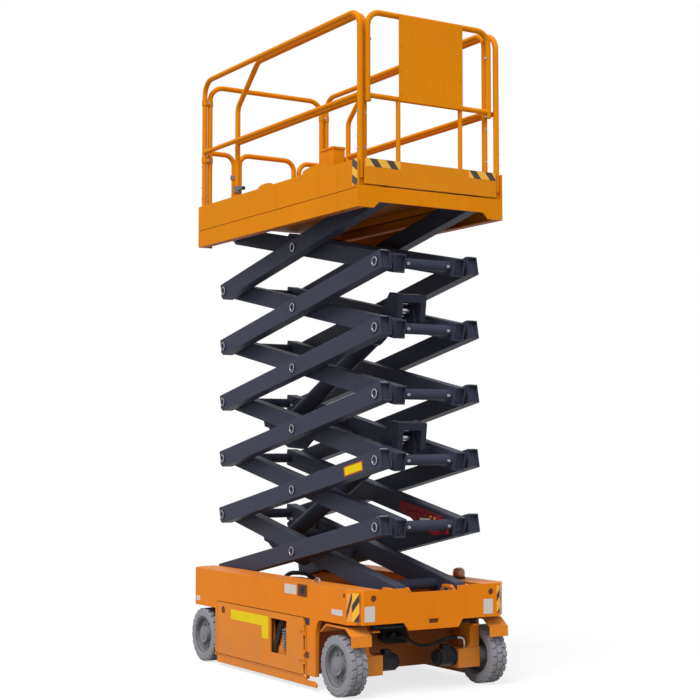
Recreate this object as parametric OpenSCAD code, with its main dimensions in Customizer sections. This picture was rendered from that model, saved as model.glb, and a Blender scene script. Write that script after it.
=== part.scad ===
// Self-propelled scissor lift with an extending platform, modelled with its stack a few metres up.
// X points to the steered front end, Z points up, and the ground is at Z = 0.

/* [Chassis] */
// Length over the chassis end plates
chassis_len = 2284; // [2240:2:2400]
// Width over the chassis side plates
chassis_w = 1200; // [1180:2:1300]
// Height of the chassis top plate
chassis_top = 669; // [660:1:720]
// Cut at each corner of the chassis, seen from above
corner_cut = 80; // [40:1:120]
// Thickness of the chassis plates
plate = 12; // [8:1:16]
// Lower edge of the chassis band over the front wheels
front_band_low = 456; // [452:1:480]
// Lower edge of the chassis band over the rear wheels
rear_band_low = 401; // [394:1:430]
// Underside of the compartments between the wheels
skirt_low = 92; // [80:1:130]
// Depth of the low middle part in the front plate's top edge
notch_depth = 28; // [0:1:36]
// Depth of the tab in the middle of the front plate
tab_depth = 50; // [20:1:70]

/* [Wheels] */
// Tyre diameter
wheel_d = 381; // [340:1:385]
// Tyre width
wheel_w = 127; // [100:1:140]
// Rim diameter
rim_d = 262; // [200:1:290]
// Wheelbase
wheelbase = 1873; // [1840:1:1890]
// Wheel spindle diameter
spindle_d = 60; // [40:1:70]
// Kingpin diameter
kingpin_d = 50; // [36:1:60]

/* [Scissor] */
// Arm length from pin to pin
arm_len = 2158; // [2100:1:2170]
// Angle of the arms above the level
arm_angle = 11.2; // [10:0.1:30]
// Height of an arm's section
arm_h = 120; // [100:1:122]
// Width of an arm's section
arm_t = 80; // [60:1:90]
// Wall of an arm's section
arm_wall = 6; // [4:0.5:10]
// Gap between an outer and an inner arm
arm_gap = 30; // [20:1:36]
// Outer face of the outer arms, from the middle plane
outer_face = 380; // [360:1:390]
// Pin diameter
pin_d = 45; // [30:1:50]
// Length of arm past a pin at its front end
front_tip = 60; // [50:1:64]
// Length of arm past a pin at its rear end
rear_tip = 50; // [45:1:64]
// Height of the lowest pivots
base_pivot_z = 630.5; // [626:0.5:632]
// Distance of the fixed pivots behind the front of the chassis
pivot_setback = 88; // [86:1:110]
// Diameter of the slide rollers
roller_d = 56; // [50:1:60]
// Width of the slide rollers
roller_w = 38; // [30:1:42]

/* [Lift cylinders] */
// Barrel diameter
barrel_d = 115; // [90:1:130]
// Rod diameter
rod_d = 70; // [50:1:80]
// Barrel length from its foot pin
barrel_len = 1370; // [1300:1:1380]
// Foot pin's distance behind the middle pin, along the arm
foot_reach = 720; // [680:1:760]
// Head pin's distance ahead of the middle pin, along the arm
head_reach = 780; // [740:1:820]
// Foot pin's drop below the arm's centre line
foot_drop = 90; // [85:1:100]
// Head pin's rise above the arm's centre line
head_rise = 90; // [85:1:95]
// Length of rod inside the barrel and out to its eye
rod_len = 1400; // [1360:1:1420]

/* [Platform] */
// Platform length
platform_len = 2269; // [2240:1:2300]
// Platform width
platform_w = 1130; // [1100:1:1160]
// Drop of the platform frame below the upper pivots
frame_drop = 96; // [80:1:110]
// Height of the deck's underside above the upper pivots
deck_rise = 76; // [74:1:90]
// Height of the toe-board's top above the upper pivots
toe_rise = 209; // [180:1:230]
// Height of the top rail above the upper pivots
rail_rise = 1182; // [1100:1:1250]
// Height of the mid rail above the upper pivots
mid_rail_rise = 624; // [560:1:680]
// Guardrail tube diameter
tube_d = 38; // [32:1:42]
// Bend radius of the guardrail tubes
tube_bend = 110; // [70:1:140]
// Half the width of the rear entry between its posts
entry_half = 285; // [260:1:320]
// Width of the sign panel on the front rail
sign_w = 500; // [300:1:560]

/* [Hidden] */
$fn = 48;
running = 0.06;
seat = 0.3;
clear = 6;
weld = 0.8;
stage_rise = arm_len*sin(arm_angle);
stage_span = arm_len*cos(arm_angle);
front_x = chassis_len/2;
pivot_x = front_x - pivot_setback;
slide_x = pivot_x - stage_span;
stages = 6;
top_pivot_z = base_pivot_z + stages*stage_rise;
inner_face = outer_face - arm_t - arm_gap;
inner_half = inner_face - arm_t;
pin_r = pin_d/2;
tip_chamfer = 25;
tip_edge = 3;
roller_y = [outer_face + 18, outer_face + 18 + roller_w];
channel_y = [outer_face + 15, roller_y[1] + 4];
channel_wall = 14;
channel_out = channel_y[1] + channel_wall;
roller_lift = roller_d/2 + seat;
roller_head = roller_d/2 + 1.5;
well_floor = base_pivot_z - 90.5;
trough_low = well_floor - plate;
side_y = chassis_w/2;
front_axle_x = wheelbase/2 - 3;
rear_axle_x = front_axle_x - wheelbase;
wheel_r = wheel_d/2;
wheel_y = side_y - wheel_w/2;
kingpin_y = side_y - wheel_w - 33;
belly_y = side_y - 170;
belly_x = [rear_axle_x + wheel_r + 14, front_axle_x - 358];
door_x = [belly_x[0] + 34, belly_x[1] - 45];
door_top = front_band_low - 5;
door_hinge = [belly_x[1] - 34, side_y + 3];
sleeve_r = kingpin_d/2 + 20;
window_x = [belly_x[1] - 488, belly_x[1] - 268];
deck_z = [top_pivot_z + deck_rise, top_pivot_z + deck_rise + 12];
toe_z = top_pivot_z + toe_rise;
frame_low = top_pivot_z - frame_drop;
groove_z = top_pivot_z + 24;
plat_x = [front_x - platform_len, front_x];
plat_y = platform_w/2;
tube_r = tube_d/2;
rail_y = plat_y - 12 - tube_r - seat;
rail_top = top_pivot_z + rail_rise - tube_r;
rail_mid = top_pivot_z + mid_rail_rise;
rear_rail_x = plat_x[0] + 32;
ext_deck_z = [deck_z[1] + clear, deck_z[1] + clear + 10];
ext_y = rail_y - tube_d - 11;
ext_x = [-690, front_x - plate];
ext_top = rail_top - 47;
step_half = 220;
guard_hinge_z = skirt_low - 14;
guard_hinge_y = side_y - 10;
guard_hinge_r = 7;
lug_w = 14;
steer_rod_x = front_axle_x + 107;
steer_rod_z = 432;
steer_rod_half = kingpin_y - 55;
beacon_x = front_axle_x - 198;
motor_y = kingpin_y - 148;
knuckle_depth = 66;

// Basic shapes

module box(x, y, z) {
    translate([x[0], y[0], z[0]]) cube([x[1] - x[0], y[1] - y[0], z[1] - z[0]]);
}

module rod_y(r, y) {
    translate([0, y[0], 0]) rotate([-90, 0, 0]) cylinder(r = r, h = y[1] - y[0]);
}

module plate_xz(points, y) {
    translate([0, y[1], 0]) rotate([90, 0, 0]) linear_extrude(y[1] - y[0]) polygon(points);
}

module plate_yz(points, x) {
    translate([x[0], 0, 0]) rotate([90, 0, 90]) linear_extrude(x[1] - x[0]) polygon(points);
}

module plan(points, z) {
    translate([0, 0, z[0]]) linear_extrude(z[1] - z[0]) polygon(points);
}

module two_sides() {
    children();
    mirror([0, 1, 0]) children();
}

// Bent tube through a list of points, each inner corner rounded to the bend radius

function unit(v) = v/norm(v);
function heading(path, i) = unit(path[i + 1] - path[i]);
function turn(path, i) = acos(min(1, max(-1, heading(path, i - 1)*heading(path, i))));
function trim(path, i, bend) = (i == 0 || i == len(path) - 1) ? 0 : bend*tan(turn(path, i)/2);

module straight(from, to, r) {
    d = unit(to - from);
    translate(from) rotate([0, acos(d.z), atan2(d.y, d.x)]) cylinder(r = r, h = norm(to - from));
}

module elbow(path, i, r, bend) {
    d1 = heading(path, i - 1);
    d2 = heading(path, i);
    m = unit(d2 - (d1*d2)*d1);
    n = cross(d1, m);
    c = path[i] - d1*trim(path, i, bend) + bend*m;
    multmatrix([[-m.x, d1.x, n.x, c.x], [-m.y, d1.y, n.y, c.y], [-m.z, d1.z, n.z, c.z], [0, 0, 0, 1]])
        rotate_extrude(angle = turn(path, i)) translate([bend, 0]) circle(r = r);
}

module pipe(path, r, bend) {
    for (i = [0:len(path) - 2]) {
        d = heading(path, i);
        straight(path[i] + d*trim(path, i, bend), path[i + 1] - d*trim(path, i + 1, bend), r);
    }
    for (i = [1:1:len(path) - 2]) elbow(path, i, r, bend);
}

// Chassis

function octagon(inset) = let (x = front_x - inset, y = side_y - inset, c = corner_cut - inset*0.586)
    [[-x, -y + c], [-x + c, -y], [x - c, -y], [x, -y + c], [x, y - c], [x - c, y], [-x + c, y],
        [-x, y - c]];

module band_shell() {
    difference() {
        plan(octagon(0), [rear_band_low, chassis_top]);
        plan(octagon(plate), [rear_band_low - 1, chassis_top - plate]);
        box([belly_x[0], front_x + 1], [-side_y - 1, side_y + 1], [rear_band_low - 1, front_band_low]);
    }
    plate_yz([[-240, front_band_low + 20], [-190, front_band_low - tab_depth],
        [190, front_band_low - tab_depth], [240, front_band_low + 20]], [front_x - plate, front_x]);
}

module belly_shell() {
    // centre box between the wheels, open below the well
    difference() {
        box(belly_x, [-belly_y, belly_y], [skirt_low, trough_low]);
        box([belly_x[0] + plate, belly_x[1] - plate], [-belly_y + plate, belly_y - plate],
            [skirt_low + plate, trough_low + 1]);
    }
    two_sides() {
        box(belly_x, [belly_y, side_y - plate - 2], [skirt_low, skirt_low + plate]);
        box([belly_x[0], door_x[0] - 4], [belly_y, side_y], [skirt_low, front_band_low]);
        box([door_hinge[0] + 12, belly_x[1]], [belly_y, side_y], [skirt_low, front_band_low]);
    }
}

module rear_box() {
    difference() {
        box([-front_x, belly_x[0]], [-belly_y, belly_y], [skirt_low + 60, trough_low]);
        box([-front_x + 110, belly_x[0] - plate], [-belly_y + plate, belly_y - plate],
            [skirt_low + 60 + plate, trough_low + 1]);
    }
}

module pivot_ear(y) {
    plate_xz([[pivot_x - 120, well_floor - 1], [pivot_x - 42, base_pivot_z + 44], [pivot_x + 30,
        base_pivot_z + 44],
        [front_x - plate, base_pivot_z + 10], [front_x - plate, well_floor - 1]], y);
}

module pivot_bores() {
    translate([pivot_x, 0, base_pivot_z]) rod_y(pin_r + running, [-channel_y[0], channel_y[0]]);
}

module chassis() {
    color("darkorange") difference() {
        union() {
            band_shell();
            belly_shell();
            rear_box();
            box([-front_x, front_x - plate/2], [-channel_out, channel_out], [trough_low, chassis_top]);
            two_sides() {
                translate([front_axle_x, kingpin_y, front_band_low - 10])
                    cylinder(r = sleeve_r, h = chassis_top - plate/2 - front_band_low + 10);
                guard_lug(belly_x[0]);
                guard_lug(belly_x[1] - lug_w);
            }
        }
        difference() {
            box([-front_x - 1, front_x - plate], [-channel_y[0], channel_y[0]],
                [well_floor, chassis_top + 1]);
            two_sides() {
                pivot_ear([inner_face + clear, inner_face + clear + 26]);
                pivot_ear([inner_half - clear - 26, inner_half - clear]);
            }
        }
        two_sides() {
            box([-front_x - 1, pivot_x - 160], channel_y, [base_pivot_z - roller_lift,
                base_pivot_z + roller_head]);
            translate([front_axle_x, kingpin_y, front_band_low - 11])
                cylinder(r = kingpin_d/2 + running, h = 76);
            translate([front_x - plate - 1, side_y - 150, front_band_low + 160])
                rotate([0, 90, 0]) cylinder(r = 20, h = plate + 2);
        }
        pivot_bores();
        box([front_x - plate - 1, front_x + 1], [-inner_half, inner_half],
            [chassis_top - notch_depth, chassis_top + 1]);
        box([-front_x - 1, -front_x + 98], [-step_half, step_half], [skirt_low + 100, trough_low - 30]);
        box([front_x - plate - 1, front_x + 1], [-35, 35], [front_band_low - 14, front_band_low + 14]);
    }
    color("dimgray") two_sides() door_hinge_pins();
}

module guard_lug(x) {
    translate([x, guard_hinge_y, guard_hinge_z]) rotate([0, 90, 0]) difference() {
        union() {
            cylinder(r = guard_hinge_r + 6, h = lug_w);
            translate([-skirt_low + guard_hinge_z - 1, -guard_hinge_r - 6, 0])
                cube([skirt_low - guard_hinge_z + 1, 2*guard_hinge_r + 6, lug_w]);
        }
        translate([0, 0, -1]) cylinder(r = guard_hinge_r + running, h = lug_w + 2);
    }
}

module door_hinge_pins() {
    for (z = [skirt_low + 110, front_band_low - 70])
        difference() {
            union() {
                translate([door_hinge[0], door_hinge[1], z - 45]) cylinder(r = 4, h = 90);
                translate([door_hinge[0], door_hinge[1], z + 21]) cylinder(r = 9, h = 24);
                translate([door_hinge[0], door_hinge[1], z - 45]) cylinder(r = 9, h = 24);
                box([door_hinge[0] + 2, door_hinge[0] + 20], [side_y - 1, door_hinge[1] + 5],
                    [z + 21, z + 45]);
                box([door_hinge[0] + 2, door_hinge[0] + 20], [side_y - 1, door_hinge[1] + 5],
                    [z - 45, z - 21]);
            }
            box([door_hinge[0] + 12, belly_x[1]], [belly_y, side_y], [skirt_low, front_band_low]);
        }
}

module entry_steps() {
    color("dimgray") for (z = [skirt_low + 190, skirt_low + 330])
        box([-front_x + 6, -front_x + 60], [-step_half, step_half], [z, z + 26]);
}

module battery_pack() {
    color("black") box([belly_x[0] + 120, belly_x[1] - 160], [-belly_y + 40, belly_y - 40],
        [skirt_low + plate, trough_low - 156]);
}

module hydraulic_unit() {
    y = -belly_y - 20;
    tank_z = [skirt_low + plate, skirt_low + 130];
    color("black") {
        box([window_x[0] - 28, belly_x[1] - 95], [y - 110, y + 20], tank_z);
        translate([window_x[0] + 62, y - 62, tank_z[1]]) cylinder(r = 44, h = 170);
        box([window_x[0] + 142, window_x[1] + 22], [y - 100, y - 20], [tank_z[1], tank_z[1] + 130]);
        translate([window_x[1] + 102, y - 60, tank_z[1]]) cylinder(r = 34, h = 120);
    }
}

module beacon() {
    color("orange") translate([beacon_x, channel_out + 34, chassis_top]) {
        cylinder(r = 34, h = 16);
        cylinder(r = 28, h = 62);
        translate([0, 0, 62]) cylinder(r1 = 28, r2 = 18, h = 14);
    }
}

module rear_spindles() {
    color("dimgray") two_sides() translate([rear_axle_x, 0, wheel_r]) {
        rod_y(spindle_d/2, [belly_y, side_y - 30]);
        rod_y(spindle_d/2 + 45, [belly_y, side_y - wheel_w - clear]);
    }
}

// Steering

module steer_barrel() {
    color("black") translate([steer_rod_x, 0, steer_rod_z]) {
        difference() {
            union() {
                rod_y(32, [-150, 150]);
                box([-24, 24], [-130, -80], [0, trough_low - steer_rod_z]);
                box([-24, 24], [80, 130], [0, trough_low - steer_rod_z]);
            }
            rod_y(15 + running, [-151, 151]);
        }
    }
}

module valve_block() {
    low = wheel_r + 75;
    x = belly_x[1] + 60;
    color("black") {
        plate_yz([[-95, trough_low], [-95, low + 30], [-60, low], [95, low], [110, low + 40], [0,
            trough_low]], [x, x + 60]);
        box([belly_x[1], x + 1], [-70, 40], [low + 60, low + 150]);
        for (y = [-50, 10]) translate([x + 59, y, low + 60]) rotate([0, 90, 0]) cylinder(r = 22, h = 60);
    }
}

module steer_rod() {
    color("silver") translate([steer_rod_x, 0, steer_rod_z]) {
        rod_y(15, [-steer_rod_half + 10, steer_rod_half - 10]);
        for (s = [-1, 1]) translate([0, s*steer_rod_half, -16]) cylinder(r = 22, h = 32);
    }
}

module knuckle() {
    // drawn on the far side; the near one is its mirror image
    cap_top = front_band_low - 16;
    foot_z = [wheel_r - 70, wheel_r + 54];
    web_y = kingpin_y - 50;
    fillet = 42;
    translate([front_axle_x, 0, 0]) {
        translate([0, kingpin_y, cap_top - 46]) cylinder(r = kingpin_d/2, h = 110);
        box([-58, 58], [web_y, kingpin_y + 24], [foot_z[0], cap_top]);
        box([-knuckle_depth, knuckle_depth], [motor_y, kingpin_y + 24], foot_z);
        difference() {
            box([-58, 58], [web_y - fillet, web_y + 1], [foot_z[1] - 1, foot_z[1] + fillet]);
            translate([-59, web_y - fillet, foot_z[1] + fillet]) rotate([0, 90, 0]) cylinder(r = fillet,
                h = 118);
        }
        plate_xz([[-192, wheel_d + 4], [-120, cap_top], [120, cap_top], [192, wheel_d + 4],
            [180, wheel_d + 4], [114, cap_top - 10], [-114, cap_top - 10], [-180, wheel_d + 4]],
            [kingpin_y + 14, side_y]);
        translate([0, 0, wheel_r]) rod_y(spindle_d/2, [kingpin_y + 10, side_y - 30]);
        plan([[30, kingpin_y + 20], [135, kingpin_y - 30], [135, kingpin_y - 84], [80, kingpin_y - 84],
            [30, kingpin_y - 20]], [cap_top - 44, cap_top - 32]);
    }
}

module knuckle_far() {
    color("darkorange") knuckle();
}

module knuckle_near() {
    color("darkorange") mirror([0, 1, 0]) knuckle();
}

module motor() {
    translate([front_axle_x, 0, wheel_r]) {
        rod_y(60, [motor_y - 14, motor_y]);
        rod_y(56, [motor_y - 120, motor_y - 13]);
        rod_y(44, [motor_y - 140, motor_y - 119]);
        box([-26, 26], [motor_y - 90, motor_y - 40], [40, 80]);
    }
}

module motor_far() {
    color("black") motor();
}

module motor_near() {
    color("black") mirror([0, 1, 0]) motor();
}

module tyre() {
    shoulder = 14;
    rotate([90, 0, 0]) rotate_extrude($fn = 96) polygon([[rim_d/2, -wheel_w/2 + 6],
        [wheel_r - shoulder - 8, -wheel_w/2],
        [wheel_r, -wheel_w/2 + shoulder], [wheel_r, wheel_w/2 - shoulder], [wheel_r - shoulder - 8,
            wheel_w/2],
        [rim_d/2, wheel_w/2 - 6]]);
}

module rim() {
    // drawn with its outer face to +Y
    difference() {
        union() {
            rotate([-90, 0, 0]) translate([0, 0, -wheel_w/2 + 10]) cylinder(r = rim_d/2, h = wheel_w - 20);
            rod_y(spindle_d/2 + 28, [-wheel_w/2 + 4, wheel_w/2 - 6]);
        }
        difference() {
            rod_y(rim_d/2 - 10, [wheel_w/2 - 40, wheel_w/2]);
            rod_y(spindle_d/2 + 28, [-wheel_w, wheel_w]);
        }
        difference() {
            rod_y(rim_d/2 - 10, [-wheel_w/2, wheel_w/2 - 56]);
            rod_y(spindle_d/2 + 28, [-wheel_w, wheel_w]);
        }
        rod_y(spindle_d/2 + running, [-wheel_w, wheel_w/2 - 28]);
    }
}

module tyre_front_near() { color("silver") translate([front_axle_x, -wheel_y, wheel_r]) tyre(); }
module tyre_front_far() { color("silver") translate([front_axle_x, wheel_y, wheel_r]) tyre(); }
module tyre_rear_near() { color("silver") translate([rear_axle_x, -wheel_y, wheel_r]) tyre(); }
module tyre_rear_far() { color("silver") translate([rear_axle_x, wheel_y, wheel_r]) tyre(); }
module rim_front_near() { color("gray") translate([front_axle_x, -wheel_y, wheel_r]) mirror([0, 1,
    0]) rim(); }
module rim_front_far() { color("gray") translate([front_axle_x, wheel_y, wheel_r]) rim(); }
module rim_rear_near() { color("gray") translate([rear_axle_x, -wheel_y, wheel_r]) mirror([0, 1,
    0]) rim(); }
module rim_rear_far() { color("gray") translate([rear_axle_x, wheel_y, wheel_r]) rim(); }

// Doors and pothole guards, drawn on the near side

module door() {
    door_y = [-side_y, -side_y + plate];
    difference() {
        union() {
            box(door_x, door_y, [skirt_low - 4, door_top]);
            for (z = [skirt_low + 110, front_band_low - 70]) {
                translate([door_hinge[0], -door_hinge[1], z - 20]) cylinder(r = 9, h = 40);
                box([door_x[1] - 40, door_hinge[0] - 2], [-door_hinge[1] - 5, -side_y], [z - 20, z + 20]);
            }
        }
        box(window_x, [-side_y - 1, -side_y + plate + 1], [skirt_low + 90, front_band_low - 47]);
        translate([door_x[0] + 92, 0, door_top - 51]) rod_y(17, [-side_y - 1, -side_y + plate + 1]);
        for (z = [skirt_low + 110, front_band_low - 70])
            translate([door_hinge[0], -door_hinge[1], z - 60]) cylinder(r = 4 + running, h = 120);
    }
}

module door_near() {
    color("darkorange") door();
}

module door_far() {
    color("darkorange") mirror([0, 1, 0]) door();
}

module guard() {
    from = belly_x[0];
    to = belly_x[1];
    tip = to + 120;
    low = -54;
    below_lug = -guard_hinge_r - 6 - clear;
    translate([0, -guard_hinge_y, guard_hinge_z]) {
        translate([from, 0, 0]) rotate([0, 90, 0]) cylinder(r = guard_hinge_r, h = to - from);
        plate_xz([[from + lug_w + clear, 0], [to - lug_w - clear, 0], [to - lug_w - clear, below_lug],
            [tip - 26, below_lug], [tip, -34], [tip - 10, low], [from + lug_w + clear, low]], [-4, 4]);
    }
}

module guard_near() {
    color("darkorange") guard();
}

module guard_far() {
    color("darkorange") mirror([0, 1, 0]) guard();
}

// Scissor arms

module arm_blank(tips, top_cut, low_cut, y) {
    // along +X from the first pin to the second
    h = arm_h/2;
    to = arm_len + tips[1];
    plate_xz([[-tips[0], -h + low_cut[0]], [-tips[0] + low_cut[0], -h], [to - low_cut[1], -h], [to,
        -h + low_cut[1]],
        [to, h - top_cut[1]], [to - top_cut[1], h], [-tips[0] + top_cut[0], h],
            [-tips[0], h - top_cut[0]]], y);
}

module arm_beam(tips, top_cut, low_cut, y) {
    wall_y = [y[0] + arm_wall, y[1] - arm_wall];
    h = arm_h/2 - arm_wall;
    pocket = pin_r + 14;
    difference() {
        arm_blank(tips, top_cut, low_cut, y);
        box([pin_d*1.6, arm_len/2 - pin_d*1.6], wall_y, [-h, h]);
        box([arm_len/2 + pin_d*1.6, arm_len - pin_d*1.6], wall_y, [-h, h]);
        box([-tips[0] - 1, -pocket], wall_y, [-h + low_cut[0], h - top_cut[0]]);
        box([arm_len + pocket, arm_len + tips[1] + 1], wall_y, [-h + low_cut[1], h - top_cut[1]]);
    }
}

module at_outer(k) {
    translate([slide_x, 0, base_pivot_z + (k - 1)*stage_rise]) rotate([0, -arm_angle, 0]) children();
}

module at_inner(k) {
    translate([pivot_x, 0, base_pivot_z + (k - 1)*stage_rise]) rotate([0, arm_angle, 0]) mirror([1, 0,
        0]) children();
}

module outer_arms(k) {
    arm_y = [outer_face - arm_t, outer_face];
    end_cut = (k == stages) ? tip_chamfer : tip_edge;
    at_outer(k) two_sides() {
        difference() {
            arm_beam([rear_tip, front_tip], [tip_edge, end_cut], [tip_chamfer, end_cut], arm_y);
            for (x = [0, arm_len/2, arm_len])
                if (k > 1 || x > 0) translate([x, 0, 0]) rod_y(pin_r + running,
                    [arm_y[0] - 1, arm_y[1] + 1]);
        }
        if (k == 1) {
            rod_y(pin_r, [arm_y[1] - 20, roller_y[1]]);
            rod_y(roller_d/2, roller_y);
        }
    }
}

module pin_head(y) {
    difference() {
        rod_y(pin_r + 8, y);
        rod_y(pin_r - 8, [y[1] - 6, y[1] + 1]);
    }
}

module inner_arms(k) {
    arm_y = [inner_half, inner_face];
    foot_cut = (k == 1) ? tip_chamfer : tip_edge;
    head_cut = (k == stages) ? tip_chamfer : tip_edge;
    pin_end = outer_face + 4;
    at_inner(k) {
        two_sides() {
            arm_beam([front_tip, rear_tip], [foot_cut, head_cut], [foot_cut, tip_chamfer], arm_y);
            for (x = [0, arm_len/2, arm_len]) translate([x, 0, 0]) {
                if (k > 1 || x > 0) {
                    rod_y(pin_r + 18, [arm_y[1] - 1, arm_y[1] + arm_gap - 3]);
                    rod_y(pin_r, [arm_y[1] - 1, (k == stages && x == arm_len) ? roller_y[1] : pin_end]);
                }
            }
            for (x = [0, arm_len/2, arm_len])
                if ((k > 1 || x > 0) && !(k == stages && x == arm_len))
                    translate([x, 0, 0]) pin_head([outer_face + 1, outer_face + 9]);
            if (k == 1) rod_y(pin_r, [inner_half - clear - 26, inner_face + clear + 26]);
            if (k == stages) translate([arm_len, 0, 0]) rod_y(roller_d/2, roller_y);
        }
        translate([(k == 1) ? 170 : 0, 0, 0]) rod_y(35, [-inner_half - 1, inner_half + 1]);
        translate([arm_len, 0, 0]) rod_y(35, [-inner_half - 1, inner_half + 1]);
        if (k == 1 || k == 3) foot_mount();
        if (k == 3 || k == 5) head_mount();
    }
}

module foot_mount() {
    x = arm_len/2 + foot_reach;
    two_sides() {
        plate_xz([[x - 90, 30], [x - 90, -arm_h/2 + 20], [x - 40, -foot_drop - 34], [x + 40,
            -foot_drop - 34],
            [x + 90, -arm_h/2 + 20], [x + 90, 30]], [inner_half - clear - 16, inner_half - clear]);
        box([x - 70, x + 70], [inner_half - clear - 1, inner_half + 1], [-30, 20]);
    }
    translate([x, 0, -foot_drop]) rod_y(30, [-inner_half + clear + 2, inner_half - clear - 2]);
}

module head_mount() {
    // one ear and its block on each arm, the rod's eye runs free between the ears
    x = arm_len/2 - head_reach;
    ear_y = [48, 70];
    two_sides() {
        plate_xz([[x - 90, -10], [x - 90, 40], [x - 40, head_rise + 44], [x + 40, head_rise + 44],
            [x + 60, 40], [x + 60, -10]],
            ear_y);
        box([x - 80, x + 50], [ear_y[1] - 1, inner_half + 1], [-10, 44]);
        translate([x, 0, head_rise]) rod_y(26, [ear_y[1] - 1, ear_y[1] + 16]);
    }
}

module outer_arms_1() { color("darkslategray") outer_arms(1); }
module outer_arms_2() { color("darkslategray") outer_arms(2); }
module outer_arms_3() { color("darkslategray") outer_arms(3); }
module outer_arms_4() { color("darkslategray") outer_arms(4); }
module outer_arms_5() { color("darkslategray") outer_arms(5); }
module outer_arms_6() { color("darkslategray") outer_arms(6); }
module inner_arms_1() { color("darkslategray") inner_arms(1); }
module inner_arms_2() { color("darkslategray") inner_arms(2); }
module inner_arms_3() { color("darkslategray") inner_arms(3); }
module inner_arms_4() { color("darkslategray") inner_arms(4); }
module inner_arms_5() { color("darkslategray") inner_arms(5); }
module inner_arms_6() { color("darkslategray") inner_arms(6); }

module safety_prop() {
    color("firebrick") at_inner(2) {
        box([arm_len*0.042, arm_len*0.26], [inner_half - 26, inner_half], [-34, 34]);
        translate([arm_len*0.06, 0, 0]) rod_y(20, [inner_half - 40, inner_half - 26]);
    }
}

// Lift cylinders, each from a foot on one inner arm pair to a head two stages up

cylinder_run = [foot_reach*cos(arm_angle) + head_reach*cos(arm_angle) + (foot_drop + head_rise)*sin(arm_angle),
    2*stage_rise - (foot_reach + head_reach)*sin(arm_angle) + (foot_drop + head_rise)*cos(arm_angle)];
cylinder_len = norm(cylinder_run);
cylinder_angle = atan2(cylinder_run[1], cylinder_run[0]);

module at_foot(k) {
    along = arm_len/2 + foot_reach;
    x = pivot_x - along*cos(arm_angle) - foot_drop*sin(arm_angle);
    z = base_pivot_z + (k - 1)*stage_rise + along*sin(arm_angle) - foot_drop*cos(arm_angle);
    translate([x, 0, z]) rotate([0, -cylinder_angle, 0]) children();
}

module barrel() {
    difference() {
        union() {
            rotate([0, 90, 0]) translate([0, 0, 30]) cylinder(r = barrel_d/2, h = barrel_len - 30);
            rotate([0, 90, 0]) translate([0, 0, barrel_len - 60]) cylinder(r = barrel_d/2 + 8, h = 60);
            rod_y(52, [-48, 48]);
            box([60, 110], [-30, 30], [barrel_d/2 - 10, barrel_d/2 + 26]);
        }
        rod_y(30 + running, [-60, 60]);
        rotate([0, 90, 0]) translate([0, 0, 60]) cylinder(r = rod_d/2 + running, h = barrel_len);
    }
}

module rod() {
    translate([cylinder_len, 0, 0]) {
        rotate([0, 90, 0]) translate([0, 0, -rod_len]) cylinder(r = rod_d/2, h = rod_len - 20);
        rod_y(46, [-42, 42]);
    }
}

module lower_barrel() {
    color("black") at_foot(1) barrel();
}

module lower_rod() {
    color("silver") at_foot(1) rod();
}

module upper_barrel() {
    color("black") at_foot(3) barrel();
}

module upper_rod() {
    color("silver") at_foot(3) rod();
}

// Platform

module platform_channel() {
    difference() {
        box([plat_x[0], pivot_x - 160], [channel_y[0], channel_out],
            [top_pivot_z - roller_lift - 12, deck_z[0] + 1]);
        box([plat_x[0] - 1, pivot_x - 159], [channel_y[0] - 1, channel_y[1]],
            [top_pivot_z - roller_lift, top_pivot_z + roller_head]);
    }
}

module platform_side() {
    difference() {
        box(plat_x, [plat_y - 60, plat_y], [frame_low, groove_z]);
        box([plat_x[0] - 1, plat_x[1] + 1], [plat_y - 61, plat_y - 8], [frame_low + 8, groove_z - 8]);
    }
    box(plat_x, [plat_y - 16, plat_y - 8], [groove_z - 1, groove_z + 5]);
    box(plat_x, [plat_y - 12, plat_y], [groove_z + 4, toe_z]);
    box([plat_x[0], pivot_x - 160], [channel_out - 1, plat_y - 8], [deck_z[0] - 40, deck_z[0] + 1]);
}

module upper_ear() {
    plate_xz([[pivot_x - 90, deck_z[0] + 1], [pivot_x - 40, top_pivot_z - 44], [pivot_x + 40,
        top_pivot_z - 44],
        [front_x - plate - clear, deck_z[0] - 30], [front_x - plate - clear, deck_z[0] + 1]],
        [channel_y[0], channel_y[0] + 22]);
    translate([pivot_x, 0, top_pivot_z]) {
        rod_y(pin_r, [outer_face - arm_t - 12, channel_y[0] + 1]);
        rod_y(pin_r + 8, [channel_y[0] + 21, channel_y[0] + 28]);
    }
}

module platform_frame() {
    color("orange") {
        box([plat_x[0], front_x - plate - clear], [-plat_y + 8, plat_y - 8], deck_z);
        two_sides() {
            platform_channel();
            platform_side();
            upper_ear();
            box([plat_x[0], plat_x[0] + 12], [entry_half - 27, plat_y], [deck_z[0], toe_z]);
            box([plat_x[0], plat_x[0] + 12], [channel_out, plat_y], [frame_low, deck_z[0] + 1]);
            box([pivot_x - 120, front_x - plate - clear], [channel_y[0] + 21, plat_y - 8],
                [deck_z[0] - 30, deck_z[0] + 1]);
        }
        plate_yz([[-plat_y, frame_low], [-plat_y + 120, frame_low], [-plat_y + 160, frame_low + 40],
            [plat_y - 160, frame_low + 40], [plat_y - 120, frame_low], [plat_y, frame_low],
            [plat_y, groove_z + 18], [-plat_y, groove_z + 18]], [front_x - plate, front_x]);
    }
}

module side_rail() {
    front_post = front_x - 24;
    foot = deck_z[1];
    pipe([[front_post, rail_y, foot], [front_post, rail_y, rail_top], [rear_rail_x, rail_y, rail_top],
        [rear_rail_x, rail_y, foot]], tube_r, tube_bend);
    straight([rear_rail_x, rail_y, rail_mid], [front_post, rail_y, rail_mid], tube_r - 2);
}

module side_rail_far() {
    color("orange") side_rail();
}

module side_rail_near() {
    color("orange") mirror([0, 1, 0]) side_rail();
}

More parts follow.
